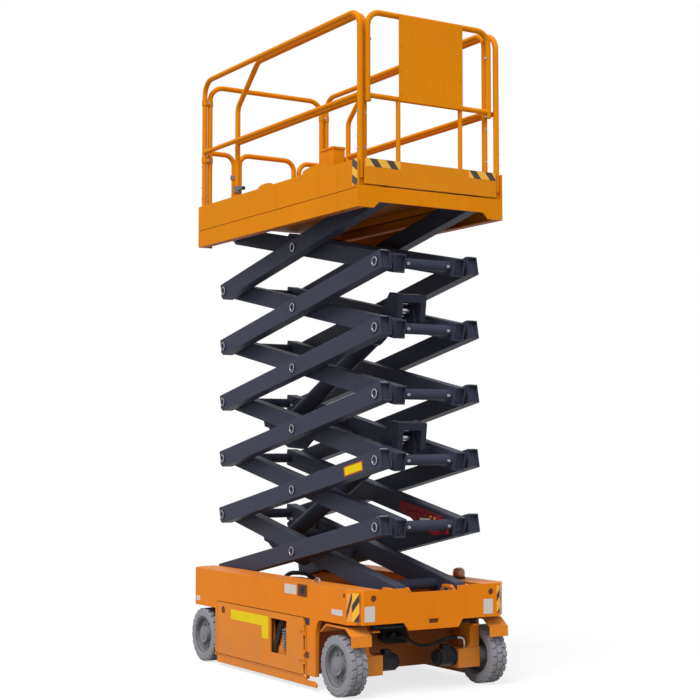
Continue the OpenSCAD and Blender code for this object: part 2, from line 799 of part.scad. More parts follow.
module rear_rail() {
    hoop_y = rail_y - tube_d - 6;
    color("orange") {
        pipe([[rear_rail_x, -hoop_y, deck_z[1]], [rear_rail_x, -hoop_y, rail_top - 30], [rear_rail_x,
            hoop_y, rail_top - 30],
            [rear_rail_x, hoop_y, deck_z[1]]], tube_r, tube_bend);
        two_sides() {
            pipe([[rear_rail_x, hoop_y, rail_mid], [rear_rail_x, entry_half, rail_mid], [rear_rail_x,
                entry_half, deck_z[1]]],
                tube_r, 80);
            for (z = [rail_top - 160, rail_mid - 60])
                box([rear_rail_x - 16, rear_rail_x + 16], [hoop_y, rail_y - tube_r - seat],
                    [z - 22, z + 22]);
        }
    }
}

module rear_gate() {
    gate_half = entry_half - 47;
    low = deck_z[1] + 70;
    color("orange") difference() {
        union() {
            pipe([[rear_rail_x, -gate_half, low], [rear_rail_x, -gate_half, rail_mid + 10],
                [rear_rail_x, gate_half, rail_mid + 10], [rear_rail_x, gate_half, low]], tube_r, 80);
            straight([rear_rail_x, -gate_half, low + 20], [rear_rail_x, gate_half, low + 20], tube_r - 2);
            box([rear_rail_x - 5, rear_rail_x + 5], [-gate_half + 5, gate_half - 5], [low - 50, low + 20]);
            for (z = [low + 90, low + 280]) {
                translate([rear_rail_x, -entry_half, z]) cylinder(r = tube_r + 7, h = 36);
                box([rear_rail_x - 8, rear_rail_x + 8], [-entry_half, -gate_half], [z, z + 36]);
            }
        }
        translate([rear_rail_x, -entry_half, low]) cylinder(r = tube_r + running, h = 400);
    }
}

// Extension deck and its guardrail

module extension_deck() {
    color("orange") {
        box([ext_x[0], ext_x[1] + 1], [-ext_y - tube_r, ext_y + tube_r], ext_deck_z);
        box([front_x - plate, front_x], [-rail_y + tube_r, rail_y - tube_r], [groove_z + 28, toe_z + 7]);
        two_sides() {
            box([ext_x[0], ext_x[1] + 1], [ext_y + tube_r - 8, ext_y + tube_r],
                [ext_deck_z[0], toe_z - 12]);
            box([ext_x[0], 300], [ext_y - 60, ext_y - 30], [deck_z[1] + seat, ext_deck_z[0] + 1]);
        }
    }
}

module extension_rail() {
    side_front = front_x - 72;
    hoop_x = front_x - 30;
    foot = ext_deck_z[1];
    side_y_in = ext_y - 10;
    rear_leg = ext_x[0] + 24;
    slope_x = rear_leg + 500;
    slope_drop = 247;
    color("orange") {
        two_sides() {
            pipe([[side_front, side_y_in, foot], [side_front, side_y_in, ext_top], [slope_x, side_y_in,
                ext_top]],
                tube_r, tube_bend);
            straight([slope_x, side_y_in, ext_top], [rear_leg, side_y_in, ext_top - slope_drop], tube_r);
            straight([rear_leg, side_y_in, ext_top - slope_drop], [rear_leg, side_y_in, foot], tube_r);
            for (p = [[slope_x, side_y_in, ext_top], [rear_leg, side_y_in, ext_top - slope_drop]])
                translate(p) sphere(r = tube_r + weld);
            straight([side_front, side_y_in, rail_mid - 40], [rear_leg, side_y_in, rail_mid - 40],
                tube_r - 2);
            for (z = [rail_mid, ext_top - 130])
                box([side_front, hoop_x], [side_y_in - 12, side_y_in + 12], [z - 20, z + 20]);
            straight([hoop_x, sign_w/2 - 7, foot], [hoop_x, sign_w/2 - 7, rail_mid], tube_r - 4);
        }
        pipe([[hoop_x, -side_y_in, rail_mid - 40], [hoop_x, -side_y_in, rail_top], [hoop_x, side_y_in,
            rail_top],
            [hoop_x, side_y_in, rail_mid - 40]], tube_r, tube_bend);
        straight([hoop_x, -side_y_in, rail_mid], [hoop_x, side_y_in, rail_mid], tube_r - 2);
    }
}

module sign_panel() {
    panel_x = front_x - 30 + tube_r + seat;
    color("orange") box([panel_x, panel_x + 4], [-sign_w/2, sign_w/2], [rail_mid - 14, rail_top + 6]);
}

module control_box() {
    back = front_x - 30 - tube_r - seat;
    color("dimgray") {
        box([back - 130, back], [-130, 130], [rail_top - 250, rail_top - 60]);
        box([back - 10, back], [-90, 90], [rail_top - 61, rail_top + 12]);
        translate([back - 70, -60, rail_top - 60]) cylinder(r = 14, h = 60);
        translate([back - 70, 70, rail_top - 60]) cylinder(r = 22, h = 16);
    }
}

chassis();
entry_steps();
battery_pack();
hydraulic_unit();
beacon();
rear_spindles();
steer_barrel();
steer_rod();
valve_block();
door_near();
door_far();
guard_near();
guard_far();
knuckle_near();
knuckle_far();
motor_near();
motor_far();
tyre_front_near();
tyre_front_far();
tyre_rear_near();
tyre_rear_far();
rim_front_near();
rim_front_far();
rim_rear_near();
rim_rear_far();
outer_arms_1();
outer_arms_2();
outer_arms_3();
outer_arms_4();
outer_arms_5();
outer_arms_6();
inner_arms_1();
inner_arms_2();
inner_arms_3();
inner_arms_4();
inner_arms_5();
inner_arms_6();
safety_prop();
lower_barrel();
lower_rod();
upper_barrel();
upper_rod();
platform_frame();
side_rail_near();
side_rail_far();
rear_rail();
rear_gate();
extension_deck();
extension_rail();
sign_panel();
control_box();
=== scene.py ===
from math import cos, pi, radians, sin, tan

import bmesh
import bpy
from mathutils import Matrix, Vector


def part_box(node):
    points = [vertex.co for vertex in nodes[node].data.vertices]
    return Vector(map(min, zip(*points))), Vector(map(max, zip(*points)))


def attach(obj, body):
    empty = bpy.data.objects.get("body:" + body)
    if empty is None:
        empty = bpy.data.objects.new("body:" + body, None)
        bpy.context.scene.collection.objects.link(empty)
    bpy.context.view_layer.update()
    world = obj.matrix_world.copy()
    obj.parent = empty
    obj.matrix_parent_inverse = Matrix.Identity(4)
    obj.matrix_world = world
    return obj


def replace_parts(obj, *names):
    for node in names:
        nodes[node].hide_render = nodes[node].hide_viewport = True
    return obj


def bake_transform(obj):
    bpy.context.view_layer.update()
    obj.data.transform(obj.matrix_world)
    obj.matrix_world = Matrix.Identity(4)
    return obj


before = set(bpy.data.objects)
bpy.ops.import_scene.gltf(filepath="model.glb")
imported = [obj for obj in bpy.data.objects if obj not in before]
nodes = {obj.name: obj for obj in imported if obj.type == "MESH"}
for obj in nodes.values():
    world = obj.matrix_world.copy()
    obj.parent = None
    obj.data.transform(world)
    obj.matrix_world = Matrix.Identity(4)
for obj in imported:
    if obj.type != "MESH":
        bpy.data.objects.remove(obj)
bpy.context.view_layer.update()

# Chassis: a welded box of steel plate with chamfered corners, sprayed in orange enamel.
# The enamel has a fine orange-peel skin, is rubbed at its edges and gathers dust low down and on ledges.
# A brown painted shade covers the front bay and the faces that look down.


def tone(r, g, b):
    """A colour given as 0 to 255 display values, as the linear values that a shader takes."""
    def one(c):
        c /= 255
        return c/12.92 if c <= 0.04045 else ((c + 0.055)/1.055)**2.4
    return (one(r), one(g), one(b), 1)


def shade(colour, times, plus=0.0):
    """A colour made darker or lighter."""
    return tuple(min(1, c*times + plus) for c in colour[:3]) + (1,)


def wire(tree, value, socket):
    """Feeds a socket from another node, or sets it to a plain value."""
    if isinstance(value, (int, float, tuple)):
        socket.default_value = value
    else:
        tree.links.new(value, socket)


def maths(tree, operation, a, b=None, clamp=False):
    node = tree.nodes.new("ShaderNodeMath")
    node.operation = operation
    node.use_clamp = clamp
    for value, socket in zip((a, b), node.inputs):
        if value is not None:
            wire(tree, value, socket)
    return node.outputs[0]


def product(tree, first, *others):
    for value in others:
        first = maths(tree, "MULTIPLY", first, value)
    return first


def between(tree, value, low, high, to_low=0.0, to_high=1.0):
    """A value eased from one range into another."""
    node = tree.nodes.new("ShaderNodeMapRange")
    node.interpolation_type = "SMOOTHSTEP"
    for given, socket in zip((value, low, high, to_low, to_high), node.inputs):
        wire(tree, given, socket)
    return node.outputs[0]


def mixed(tree, amount, a, b):
    """One colour laid over another by an amount."""
    node = tree.nodes.new("ShaderNodeMix")
    node.data_type = "RGBA"
    for value, i in ((amount, 0), (a, 6), (b, 7)):
        wire(tree, value, node.inputs[i])
    return node.outputs[2]


def spot(tree, kind="Object"):
    """The place of a point on its object, or with Normal the way its face looks."""
    return tree.nodes.new("ShaderNodeTexCoord").outputs[kind]


def axes(tree, kind="Object"):
    node = tree.nodes.new("ShaderNodeSeparateXYZ")
    tree.links.new(spot(tree, kind), node.inputs[0])
    return node.outputs


def noise(tree, scale, detail=3.0, rough=0.55, coords=None):
    node = tree.nodes.new("ShaderNodeTexNoise")
    tree.links.new(spot(tree) if coords is None else coords, node.inputs["Vector"])
    for name, value in (("Scale", scale), ("Detail", detail), ("Roughness", rough)):
        wire(tree, value, node.inputs[name])
    return node.outputs["Fac"]


def effect(name, inputs, values, normals=()):
    """A shared effect: a shader node group with its named inputs and outputs."""
    tree = bpy.data.node_groups.new(name, "ShaderNodeTree")
    for label, value in inputs.items():
        socket = tree.interface.new_socket(label, in_out="INPUT", socket_type="NodeSocketFloat")
        socket.default_value = value
    for labels, kind in ((values, "NodeSocketFloat"), (normals, "NodeSocketVector")):
        for label in labels:
            tree.interface.new_socket(label, in_out="OUTPUT", socket_type=kind)
    return tree, tree.nodes.new("NodeGroupInput").outputs, tree.nodes.new("NodeGroupOutput").inputs


# Edge rub: a mask along outside corners, broken up, and a normal that rounds the corners.
edge_rub, given, out = effect("edge_rub", {"Amount": 0.5, "Grain": 60.0}, ("Mask",), ("Rounded",))
corner = edge_rub.nodes.new("ShaderNodeBevel")
corner.samples = 6
corner.inputs["Radius"].default_value = 0.004
surface = edge_rub.nodes.new("ShaderNodeNewGeometry")
turn = edge_rub.nodes.new("ShaderNodeVectorMath")
turn.operation = "DOT_PRODUCT"
wire(edge_rub, corner.outputs[0], turn.inputs[0])
wire(edge_rub, surface.outputs["Normal"], turn.inputs[1])
bend = between(edge_rub, maths(edge_rub, "SUBTRACT", 1.0, turn.outputs["Value"]), 0.02, 0.16)
flecks = between(edge_rub, noise(edge_rub, given["Grain"], 5.0, 0.65), 0.48, 0.66)
wire(edge_rub, product(edge_rub, bend, flecks, given["Amount"]), out["Mask"])
wire(edge_rub, corner.outputs[0], out["Rounded"])

# Dust: thicker on faces that look up and near the ground, in soft patches.
settled_dust, given, out = effect("settled_dust", {"Ledges": 0.3, "Low": 0.3, "Reach": 0.5}, ("Mask",))
tree = settled_dust
up = product(tree, between(tree, axes(tree, "Normal")["Z"], 0.35, 0.95), given["Ledges"])
low = product(tree, between(tree, axes(tree)["Z"], given["Reach"], 0.0), given["Low"])
cloud = between(tree, noise(tree, 7.0, 6.0, 0.6), 0.3, 0.75)
wire(tree, maths(tree, "MULTIPLY", maths(tree, "ADD", up, low), cloud, True), out["Mask"])

# Sprayed skin: orange peel for the bump, slow colour drift, and faint runs down upright faces.
sprayed_skin, given, out = effect("sprayed_skin", {"Peel": 420.0}, ("Height", "Drift", "Runs"))
tree = sprayed_skin
wire(tree, noise(tree, given["Peel"], 2.0), out["Height"])
wire(tree, noise(tree, 2.3, 4.0), out["Drift"])
squeeze = tree.nodes.new("ShaderNodeMapping")
squeeze.inputs["Scale"].default_value = (26, 26, 1.6)
wire(tree, spot(tree), squeeze.inputs["Vector"])
wire(tree, between(tree, noise(tree, 1.0, 4.0, coords=squeeze.outputs[0]), 0.52, 0.78), out["Runs"])

# Painted underbody shade: brown below a height, on faces that look down and in a bay between two ends.
painted_underbody_shade, given, out = effect("painted_underbody_shade", {"Back": 0.0, "Front": 0.0, "Half": 0.0, "Top": 0.0},
                                    ("Mask",))
tree = painted_underbody_shade
point = axes(tree)
below = maths(tree, "LESS_THAN", point["Z"], given["Top"])
inside = product(tree, below, maths(tree, "GREATER_THAN", point["X"], given["Back"]),
                 maths(tree, "LESS_THAN", point["X"], given["Front"]),
                 maths(tree, "LESS_THAN", maths(tree, "ABSOLUTE", point["Y"]), given["Half"]))
downward = product(tree, below, maths(tree, "LESS_THAN", axes(tree, "Normal")["Z"], -0.6))
wire(tree, maths(tree, "MAXIMUM", inside, downward), out["Mask"])

# Chips: small spots knocked off the paint between two heights.
chipped_spots, given, out = effect("chipped_spots", {"Amount": 0.5, "Low": 0.0, "High": 1.0}, ("Mask",))
tree = chipped_spots
height = axes(tree)["Z"]
specks = between(tree, noise(tree, 52.0, 4.0, 0.6), 0.6, 0.68)
wire(tree, product(tree, specks, maths(tree, "GREATER_THAN", height, given["Low"]),
                   maths(tree, "LESS_THAN", height, given["High"]), given["Amount"]), out["Mask"])


def placed(tree, group, **values):
    """A shared effect in a material, with the material's own values."""
    node = tree.nodes.new("ShaderNodeGroup")
    node.node_tree = group
    for name, value in values.items():
        node.inputs[name].default_value = value
    return node.outputs


def bare(name):
    """A material with its shader, ready for its finish."""
    material = bpy.data.materials.new(name)
    material.use_nodes = True
    return material, material.node_tree, material.node_tree.nodes["Principled BSDF"]


def finish(tree, shader, colour, rough, relief, depth, normal=None, gloss=0.5, metal=0.0):
    """Gives the shader its colour, sheen and relief, over a rounded normal where one is given."""
    bump = tree.nodes.new("ShaderNodeBump")
    for name, value in (("Strength", 1.0), ("Distance", depth), ("Height", relief), ("Normal", normal)):
        if value is not None:
            wire(tree, value, bump.inputs[name])
    for name, value in (("Base Color", colour), ("Roughness", rough), ("Metallic", metal),
                        ("Specular IOR Level", gloss), ("Normal", bump.outputs[0])):
        wire(tree, value, shader.inputs[name])


def enamel(name, colour, under, rough=0.4, rub=0.5, ledges=0.25, low=0.0, reach=0.5, dust=(150, 128, 104),
           gloss=0.06, bay=None, chips=None):
    """Sprayed enamel over steel: drift, runs, edges rubbed to the coat below, chips, brown painted shade and
    dust.
    """
    material, tree, shader = bare(name)
    skin = placed(tree, sprayed_skin)
    edge = placed(tree, edge_rub, Amount=rub)
    film = placed(tree, settled_dust, Ledges=ledges, Low=low, Reach=reach)
    paint = mixed(tree, skin["Drift"], shade(colour, 0.86), shade(colour, 1.06, 0.001))
    paint = mixed(tree, product(tree, skin["Runs"], 0.16), paint, shade(colour, 0.55))
    paint = mixed(tree, edge["Mask"], paint, under)
    if chips:
        paint = mixed(tree, placed(tree, chipped_spots, **chips)["Mask"], paint, tone(112, 84, 58))
    # brown painted shade in the bay and on the faces that look down
    if bay:
        painted_shade_brown = mixed(tree, skin["Drift"], tone(150, 82, 42), tone(196, 112, 56))
        paint = mixed(tree, placed(tree, painted_underbody_shade, **bay)["Mask"], paint, painted_shade_brown)
    sheen = maths(tree, "ADD", product(tree, skin["Drift"], 0.14), rough - 0.07)
    sheen = maths(tree, "ADD", sheen, product(tree, film["Mask"], 0.45))
    sheen = maths(tree, "ADD", sheen, product(tree, edge["Mask"], 0.15), True)
    finish(tree, shader, mixed(tree, film["Mask"], paint, tone(*dust)), sheen, skin["Height"], 0.00025,
           edge["Rounded"], gloss)
    return material


UNDERCOAT = tone(160, 92, 44)
# the front bay and the downward faces of the chassis take brown painted shade
chassis_orange = enamel("chassis_orange", tone(226, 126, 16), UNDERCOAT, low=0.3,
                        bay={"Back": 0.565, "Front": 1.128, "Half": 0.556, "Top": 0.656})
panel_orange = enamel("panel_orange", tone(222, 130, 34), UNDERCOAT, low=0.35, reach=0.55)


def coat(material, *names):
    """Gives the CAD nodes this finish."""
    for name in names:
        slots = nodes[name].data.materials
        for i in range(len(slots)):
            slots[i] = material
        if not slots:
            slots.append(material)


coat(chassis_orange, "chassis")
coat(panel_orange, "door_near", "door_far", "guard_near", "guard_far", "knuckle_near", "knuckle_far")

# Side wings: folded plates that carry the chassis side forward to the round wheel arch, welded to its band.
# Fender flaps: the same sheet, hung from the front end of each steered mudguard.
# Both are burnt out of flat steel plate with eased edges and sprayed with their neighbours.


def show(name, data):
    """Puts a mesh, a lamp or a camera in the scene."""
    obj = bpy.data.objects.new(name, data)
    bpy.context.scene.collection.objects.link(obj)
    return obj


def settle(bm, name, material, body, at=None, sharp=32):
    """Makes the built mesh a piece of the machine: smooth faces, crisp corners, its finish and its body."""
    bmesh.ops.recalc_face_normals(bm, faces=bm.faces)
    for face in bm.faces:
        face.smooth = True
    for edge in bm.edges:
        edge.smooth = len(edge.link_faces) == 2 and edge.calc_face_angle(0) < radians(sharp)
    mesh = bpy.data.meshes.new(name)
    bm.to_mesh(mesh)
    bm.free()
    obj = show(name, mesh)
    if at is not None:
        obj.matrix_world = at
    mesh.materials.append(material)
    if body:
        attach(obj, body)
    return obj


def wrap(bm, rows, ring=False, ends=True):
    """Joins rings of points, or a ring and a tip, with faces, and closes the end rings."""
    around = max(map(len, rows))
    faces = []
    for a, b in zip(rows, rows[1:] + rows[:1] if ring else rows[1:]):
        for i in range(around):
            j = (i + 1) % around
            corners = (a[i % len(a)], a[j % len(a)], b[j % len(b)], b[i % len(b)])
            faces.append(bm.faces.new(list(dict.fromkeys(corners))))
    if ends and not ring:
        faces += [bm.faces.new(row) for row in (rows[0][::-1], rows[-1]) if len(row) > 1]
    return faces


def eased(bm, faces, bevel, segments):
    """Takes the sharpness off every edge of the faces."""
    edges = list({edge for face in faces for edge in face.edges})
    bmesh.ops.bevel(bm, geom=edges, offset=bevel, segments=segments, affect="EDGES", profile=0.6)


def slab(bm, outline, y0, y1, at=Matrix(), bevel=0.0015):
    """A flat plate: an outline in x and z between two y, with eased edges."""
    rows = [[bm.verts.new(at @ Vector((x, y, z))) for x, z in outline] for y in (y0, y1)]
    eased(bm, wrap(bm, rows), bevel, 1)


SIDES = ((-1, "near"), (1, "far"))
FRONT, SIDE, TOP = 1.142, 0.6, 0.669
AXLE_X, AXLE_Z = 0.9335, 0.1905
ARCH_X, ARCH_Z, ARCH_WIDE, ARCH_TALL = 0.745, 0.33, 0.06, 0.127
WING_BACK, WING_FOOT, WING_IN = 0.57, 0.092, 0.57
FENDER_IN = 0.454
FLAP = ((0.181, 0.391), (0.191, 0.391), (0.196, 0.322), (0.188, 0.322))
wing = [(WING_BACK, WING_FOOT), (ARCH_X - ARCH_WIDE, WING_FOOT)]
for i in range(13):
    a = pi/2*i/12
    wing.append((ARCH_X - ARCH_WIDE*cos(a), ARCH_Z + ARCH_TALL*sin(a)))
wing.append((WING_BACK, ARCH_Z + ARCH_TALL))
for s, side in SIDES:
    bm = bmesh.new()
    slab(bm, wing, s*WING_IN, s*SIDE)
    settle(bm, f"side_wing_{side}", chassis_orange, "chassis")
    bm = bmesh.new()
    slab(bm, [(AXLE_X + x, z) for x, z in FLAP], s*FENDER_IN, s*SIDE)
    settle(bm, f"fender_flap_{side}", panel_orange, f"knuckle_{side}")

# Tie rings: bent zinc-plated bar welded on the chassis top beside the scissor well.
# The plating is dulled and a little stained, as on the machine's other plated fittings.


def circle(r, h, steps):
    """Points round a circle at a height, or the one point on the axis."""
    turns = [2*pi*i/steps for i in range(steps if r else 1)]
    return [Vector((r*cos(a), r*sin(a), h)) for a in turns]


zinc, tree, shader = bare("zinc_plate")
film = placed(tree, settled_dust, Ledges=0.4, Low=0.0)
spangle = noise(tree, 160.0, 4.0)
plating = mixed(tree, spangle, tone(124, 125, 130), tone(178, 179, 184))
finish(tree, shader, mixed(tree, film["Mask"], plating, tone(112, 98, 84)),
       between(tree, spangle, 0.2, 0.8, 0.22, 0.46), spangle, 0.0001, metal=1.0)

TIE_X, TIE_Y, TIE_R, TIE_WIRE, TIE_STEPS = 0.50, 0.475, 0.03, 0.006, 24
bm = bmesh.new()
for s, side in SIDES:
    rows = []
    for i in range(TIE_STEPS):
        a = pi*i/(TIE_STEPS - 1)
        outward = Vector((cos(a), 0, sin(a)))
        centre = Vector((TIE_X, s*TIE_Y, TOP)) + TIE_R*outward
        rows.append([bm.verts.new(centre + p.x*outward + Vector((0, p.y, 0)))
                     for p in circle(TIE_WIRE, 0, 8)])
    wrap(bm, rows, ends=False)
settle(bm, "deck_tie_rings", zinc, "chassis")

# Corner tapes: yellow and black hazard tape on the four chamfered corners, wrapped a little onto the front.
# It is a thin printed film with a satin face, stuck down by its own glue.


def facing(at, out, up=(0, 0, 1)):
    """A frame at a point: its z looks out of the surface and its y runs up it."""
    n = Vector(out).normalized()
    x = Vector(up).cross(n).normalized()
    return Matrix.Translation(at) @ Matrix((x, n.cross(x), n)).transposed().to_4x4()


def soft_plate(bm, wide, tall, thick, corner, at=Matrix()):
    """A thin plate with rounded corners, its back on z = 0 and its rim softened."""
    steps, ring = 5, []
    for k, (sx, sy) in enumerate(((1, 1), (-1, 1), (-1, -1), (1, -1))):
        for i in range(steps + 1):
            a = pi/2*(k + i/steps)
            ring.append((sx*(wide/2 - corner) + corner*cos(a),
                         sy*(tall/2 - corner) + corner*sin(a)))
    rim, rows = thick/4, []
    for inset, z in ((0.0, 0.0), (0.0, thick - rim), (rim, thick)):
        fx, fy = 1 - 2*inset/wide, 1 - 2*inset/tall
        rows.append([bm.verts.new(at @ Vector((x*fx, y*fy, z))) for x, y in ring])
    wrap(bm, rows)


def hazard_tape(name, slope, start, pitch, share=0.5, ground=(232, 170, 34)):
    """Slanted black bars on coloured film, measured along the tape's own face."""
    material, tree, shader = bare(name)
    point = axes(tree)
    across = maths(tree, "ADD", product(tree, point["X"], slope), point["Y"])
    cycle = maths(tree, "FRACT", maths(tree, "ADD", maths(tree, "DIVIDE", across, pitch), start))
    bar = maths(tree, "GREATER_THAN", cycle, 1 - share)
    scuff = noise(tree, 45.0, 6.0, 0.7)
    worn = product(tree, between(tree, scuff, 0.58, 0.72), 0.35)
    ink = mixed(tree, bar, tone(*ground), tone(44, 34, 32))
    finish(tree, shader, mixed(tree, worn, ink, tone(196, 140, 70)), between(tree, scuff, 0.3, 0.7, 0.3, 0.5),
           scuff, 0.0002)
    return material


def stick(name, film, body, wide, tall, at, thick=0.0014):
    """A strip of film stuck on a face."""
    bm = bmesh.new()
    soft_plate(bm, wide, tall, thick, 0.003)
    settle(bm, name, film, body, at)


CHAMFER, TAPE_Z, TAPE_TALL = 0.04, 0.565, 0.176
corner_yellow = hazard_tape("corner_tape_yellow", -1.5, 0.58, 0.118, 0.42)
corner_pale = hazard_tape("corner_tape_pale", -3.8, 0.844, 0.25, 0.22, (228, 142, 50))
strips = (("yellow", corner_yellow, -0.0028, 0.046), ("pale", corner_pale, 0.0376, 0.034))
for sx, end in ((1, "front"), (-1, "rear")):
    for sy, side in SIDES:
        at = facing((sx*(FRONT - CHAMFER), sy*(SIDE - CHAMFER), TAPE_Z), (sx, sy, 0))
        for name, tape, shift, wide in strips:
            stick(f"corner_tape_{name}_{end}_{side}", tape, "chassis", wide, TAPE_TALL,
                  at @ Matrix.Translation((sx*sy*shift, 0, 0)))
stick("front_tape_wrap_far", corner_yellow, "chassis", 0.022, TAPE_TALL,
      facing((FRONT, 0.508, TAPE_Z), (1, 0, 0)))

# Blank plates: pale data plates and a yellow angle-shaped strip on each door, left empty.
# They are printed polyester film with a slight sheen, a little yellowed and scuffed.


def film_plate(name, colour, edge):
    material, tree, shader = bare(name)
    scuff = noise(tree, 60.0, 5.0, 0.65)
    face = mixed(tree, product(tree, noise(tree, 12.0, 2.0), 0.5), colour, edge)
    face = mixed(tree, product(tree, between(tree, scuff, 0.6, 0.75), 0.4), face, edge)
    finish(tree, shader, face, between(tree, scuff, 0.3, 0.7, 0.26, 0.44), scuff, 0.0001, gloss=0.06)
    return material


pale_film = film_plate("pale_film", tone(210, 204, 204), tone(180, 164, 152))
yellow_film = film_plate("yellow_film", tone(228, 204, 0), tone(206, 168, 4))
SIDE_PLATES = ((0.36, 0.623, 0.155, 0.062), (-1.014, 0.45, 0.06, 0.034), (0.952, 0.525, 0.13, 0.036))
FILM, FILM_CORNER = 0.001, 0.006


def on_side(s, x, z, depth=0.0):
    """A frame on the chassis side, looking out, or a little below the side's face."""
    return facing((x, s*(SIDE - depth), z), (0, s, 0))


bm = bmesh.new()
for x, z, wide, tall in SIDE_PLATES:
    for s, side in SIDES:
        soft_plate(bm, wide, tall, FILM, FILM_CORNER, on_side(s, x, z))
for y in (-0.479, 0.428):
    soft_plate(bm, 0.075, 0.095, FILM, FILM_CORNER, facing((FRONT, y, 0.523), (1, 0, 0)))
settle(bm, "chassis_blank_plates", pale_film, "chassis")
for s, side in SIDES:
    bm = bmesh.new()
    soft_plate(bm, 0.55, 0.068, FILM, 0.008, on_side(s, -0.217, 0.38))
    soft_plate(bm, 0.092, 0.15, 0.0011, 0.008, on_side(s, 0.012, 0.339))
    settle(bm, f"door_yellow_strip_{side}", yellow_film, f"door_{side}")

# Chassis fittings: the lowering valve's knob and switch in a shallow pocket, hinge covers and drain holes.
# They are black moulded plastic. The pockets, the holes in the front plate and the tow slot's backing
# are brown plates and blocks, painted shade for their insides.
# The drain holes are flat black ovals, also painted shade.
# Each door has a round turned lock with a slotted barrel.


def moulded(name, colour, rough=0.5, grain=900.0):
    """Moulded plastic or cast black parts: a fine pebble, greyed on the edges and dusty."""
    material, tree, shader = bare(name)
    edge = placed(tree, edge_rub, Amount=0.35, Grain=90.0)
    film = placed(tree, settled_dust, Ledges=0.3, Low=0.25)
    slow = noise(tree, 9.0, 4.0)
    body = mixed(tree, slow, colour, shade(colour, 1.35, 0.004))
    body = mixed(tree, edge["Mask"], body, shade(colour, 2.2, 0.03))
    finish(tree, shader, mixed(tree, film["Mask"], body, tone(126, 112, 98)),
           maths(tree, "ADD", product(tree, slow, 0.16), rough - 0.08), noise(tree, grain, 2.0), 0.0003,
           edge["Rounded"], 0.12)
    return material


def turned(bm, profile, at, steps=28, ring=False):
    """A turned form: profile points are (radius, height) along the frame's z. A ring's profile closes."""
    wrap(bm, [[bm.verts.new(at @ p) for p in circle(r, h, steps)] for r, h in profile], ring)


def block(bm, low, high, bevel, at=Matrix()):
    """A block with eased edges between two corners."""
    (x0, y0, z0), (x1, y1, z1) = low, high
    square = ((x0, y0), (x1, y0), (x1, y1), (x0, y1))
    rows = [[bm.verts.new(at @ Vector((x, y, z))) for x, y in square] for z in (z0, z1)]
    eased(bm, wrap(bm, rows), bevel, 2)


black_cast = moulded("black_cast", tone(34, 33, 38), 0.45)
pocket_shade_brown = moulded("pocket_shade_brown", tone(98, 52, 26), 0.6, 300.0)
VALVE_X, VALVE_Z, DRAIN_X, DRAIN_Z = 0.519, 0.626, 1.036, 0.636
LOCK_X, LOCK_Z, LOCK_DEEP = -0.609, 0.4, 0.004
bm = bmesh.new()
for s, side in SIDES:
    at = on_side(s, VALVE_X, VALVE_Z)
    turned(bm, [(0.02, 0.002), (0.02, 0.006), (0.014, 0.009), (0.0, 0.009)],
           at @ Matrix.Translation((-0.014, 0.002, 0)))
    soft_plate(bm, 0.03, 0.05, 0.006, 0.006, at @ Matrix.Translation((0.012, 0.004, 0)))
    soft_plate(bm, 0.058, 0.044, 0.0012, 0.004, on_side(s, 0.583, 0.434))
    # the drain hole is a flat black oval, painted shade for the hole's inside
    turned(bm, [(0.014, 0), (0.014, 0.0012), (0.006, 0.0016), (0.0, 0.0012)],
           on_side(s, DRAIN_X, DRAIN_Z) @ Matrix.Diagonal((0.6, 1, 1, 1)))
settle(bm, "chassis_black_fittings", black_cast, "chassis")
# brown plates and hole floors: painted shade for the insides of the pockets and holes
bm = bmesh.new()
for s, side in SIDES:
    soft_plate(bm, 0.122, 0.078, 0.002, 0.006, on_side(s, VALVE_X, VALVE_Z))
    soft_plate(bm, 0.05, 0.04, 0.0012, 0.004, on_side(s, 0.581, 0.221))
    turned(bm, [(0.0195, -0.008), (0.0195, -0.004), (0.0, -0.003)], facing((FRONT, s*0.45, 0.616), (1, 0, 0)))
# a brown block behind the tow slot, painted shade for the slot's inside
block(bm, (1.116, -0.07, 0.43), (1.1335, 0.07, 0.484), 0.003)
settle(bm, "chassis_brown_pockets", pocket_shade_brown, "chassis")
for s, side in SIDES:
    bm = bmesh.new()
    at = on_side(s, LOCK_X, LOCK_Z, LOCK_DEEP)
    turned(bm, [(0.024, 0.0), (0.024, 0.006), (0.019, 0.008), (0.019, 0.0055), (0.0, 0.0055)], at)
    soft_plate(bm, 0.005, 0.018, 0.0065, 0.002, at)
    settle(bm, f"door_lock_{side}", pocket_shade_brown, f"door_{side}")

# Entry steps and spindles: bright grey enamel over steel, worn where feet and wheels touch.
# Power pack behind the door window: an orange tank with a finned cooler, plated caps and two looped hoses.
# The hoses are reinforced rubber with crimped ferrules. Two more arch in the scissor well.

black_enamel = enamel("black_enamel", tone(36, 37, 42), tone(96, 96, 100), rub=0.35, ledges=0.15, low=0.08)
step_steel = enamel("step_steel", tone(120, 120, 122), tone(186, 186, 188), 0.42, 0.7, 0.3, 0.3)
coat(black_enamel, "steer_barrel", "steer_rod", "motor_near", "motor_far", "battery_pack", "valve_block")
coat(panel_orange, "hydraulic_unit")
coat(step_steel, "entry_steps", "rear_spindles")
hose_rubber = moulded("hose_rubber", tone(30, 30, 33), 0.55, 500.0)


def sweep(bm, path, radii, steps):
    """A round skin along a path, with a radius at each point."""
    rows, side = [], None
    for i, (p, radius) in enumerate(zip(path, radii)):
        d = (path[min(i + 1, len(path) - 1)] - path[max(i - 1, 0)]).normalized()
        side = d.orthogonal() if side is None else side - d*side.dot(d)
        side.normalize()
        other = d.cross(side)
        rows.append([bm.verts.new(p + v.x*side + v.y*other) for v in circle(radius, 0, steps)])
    wrap(bm, rows)


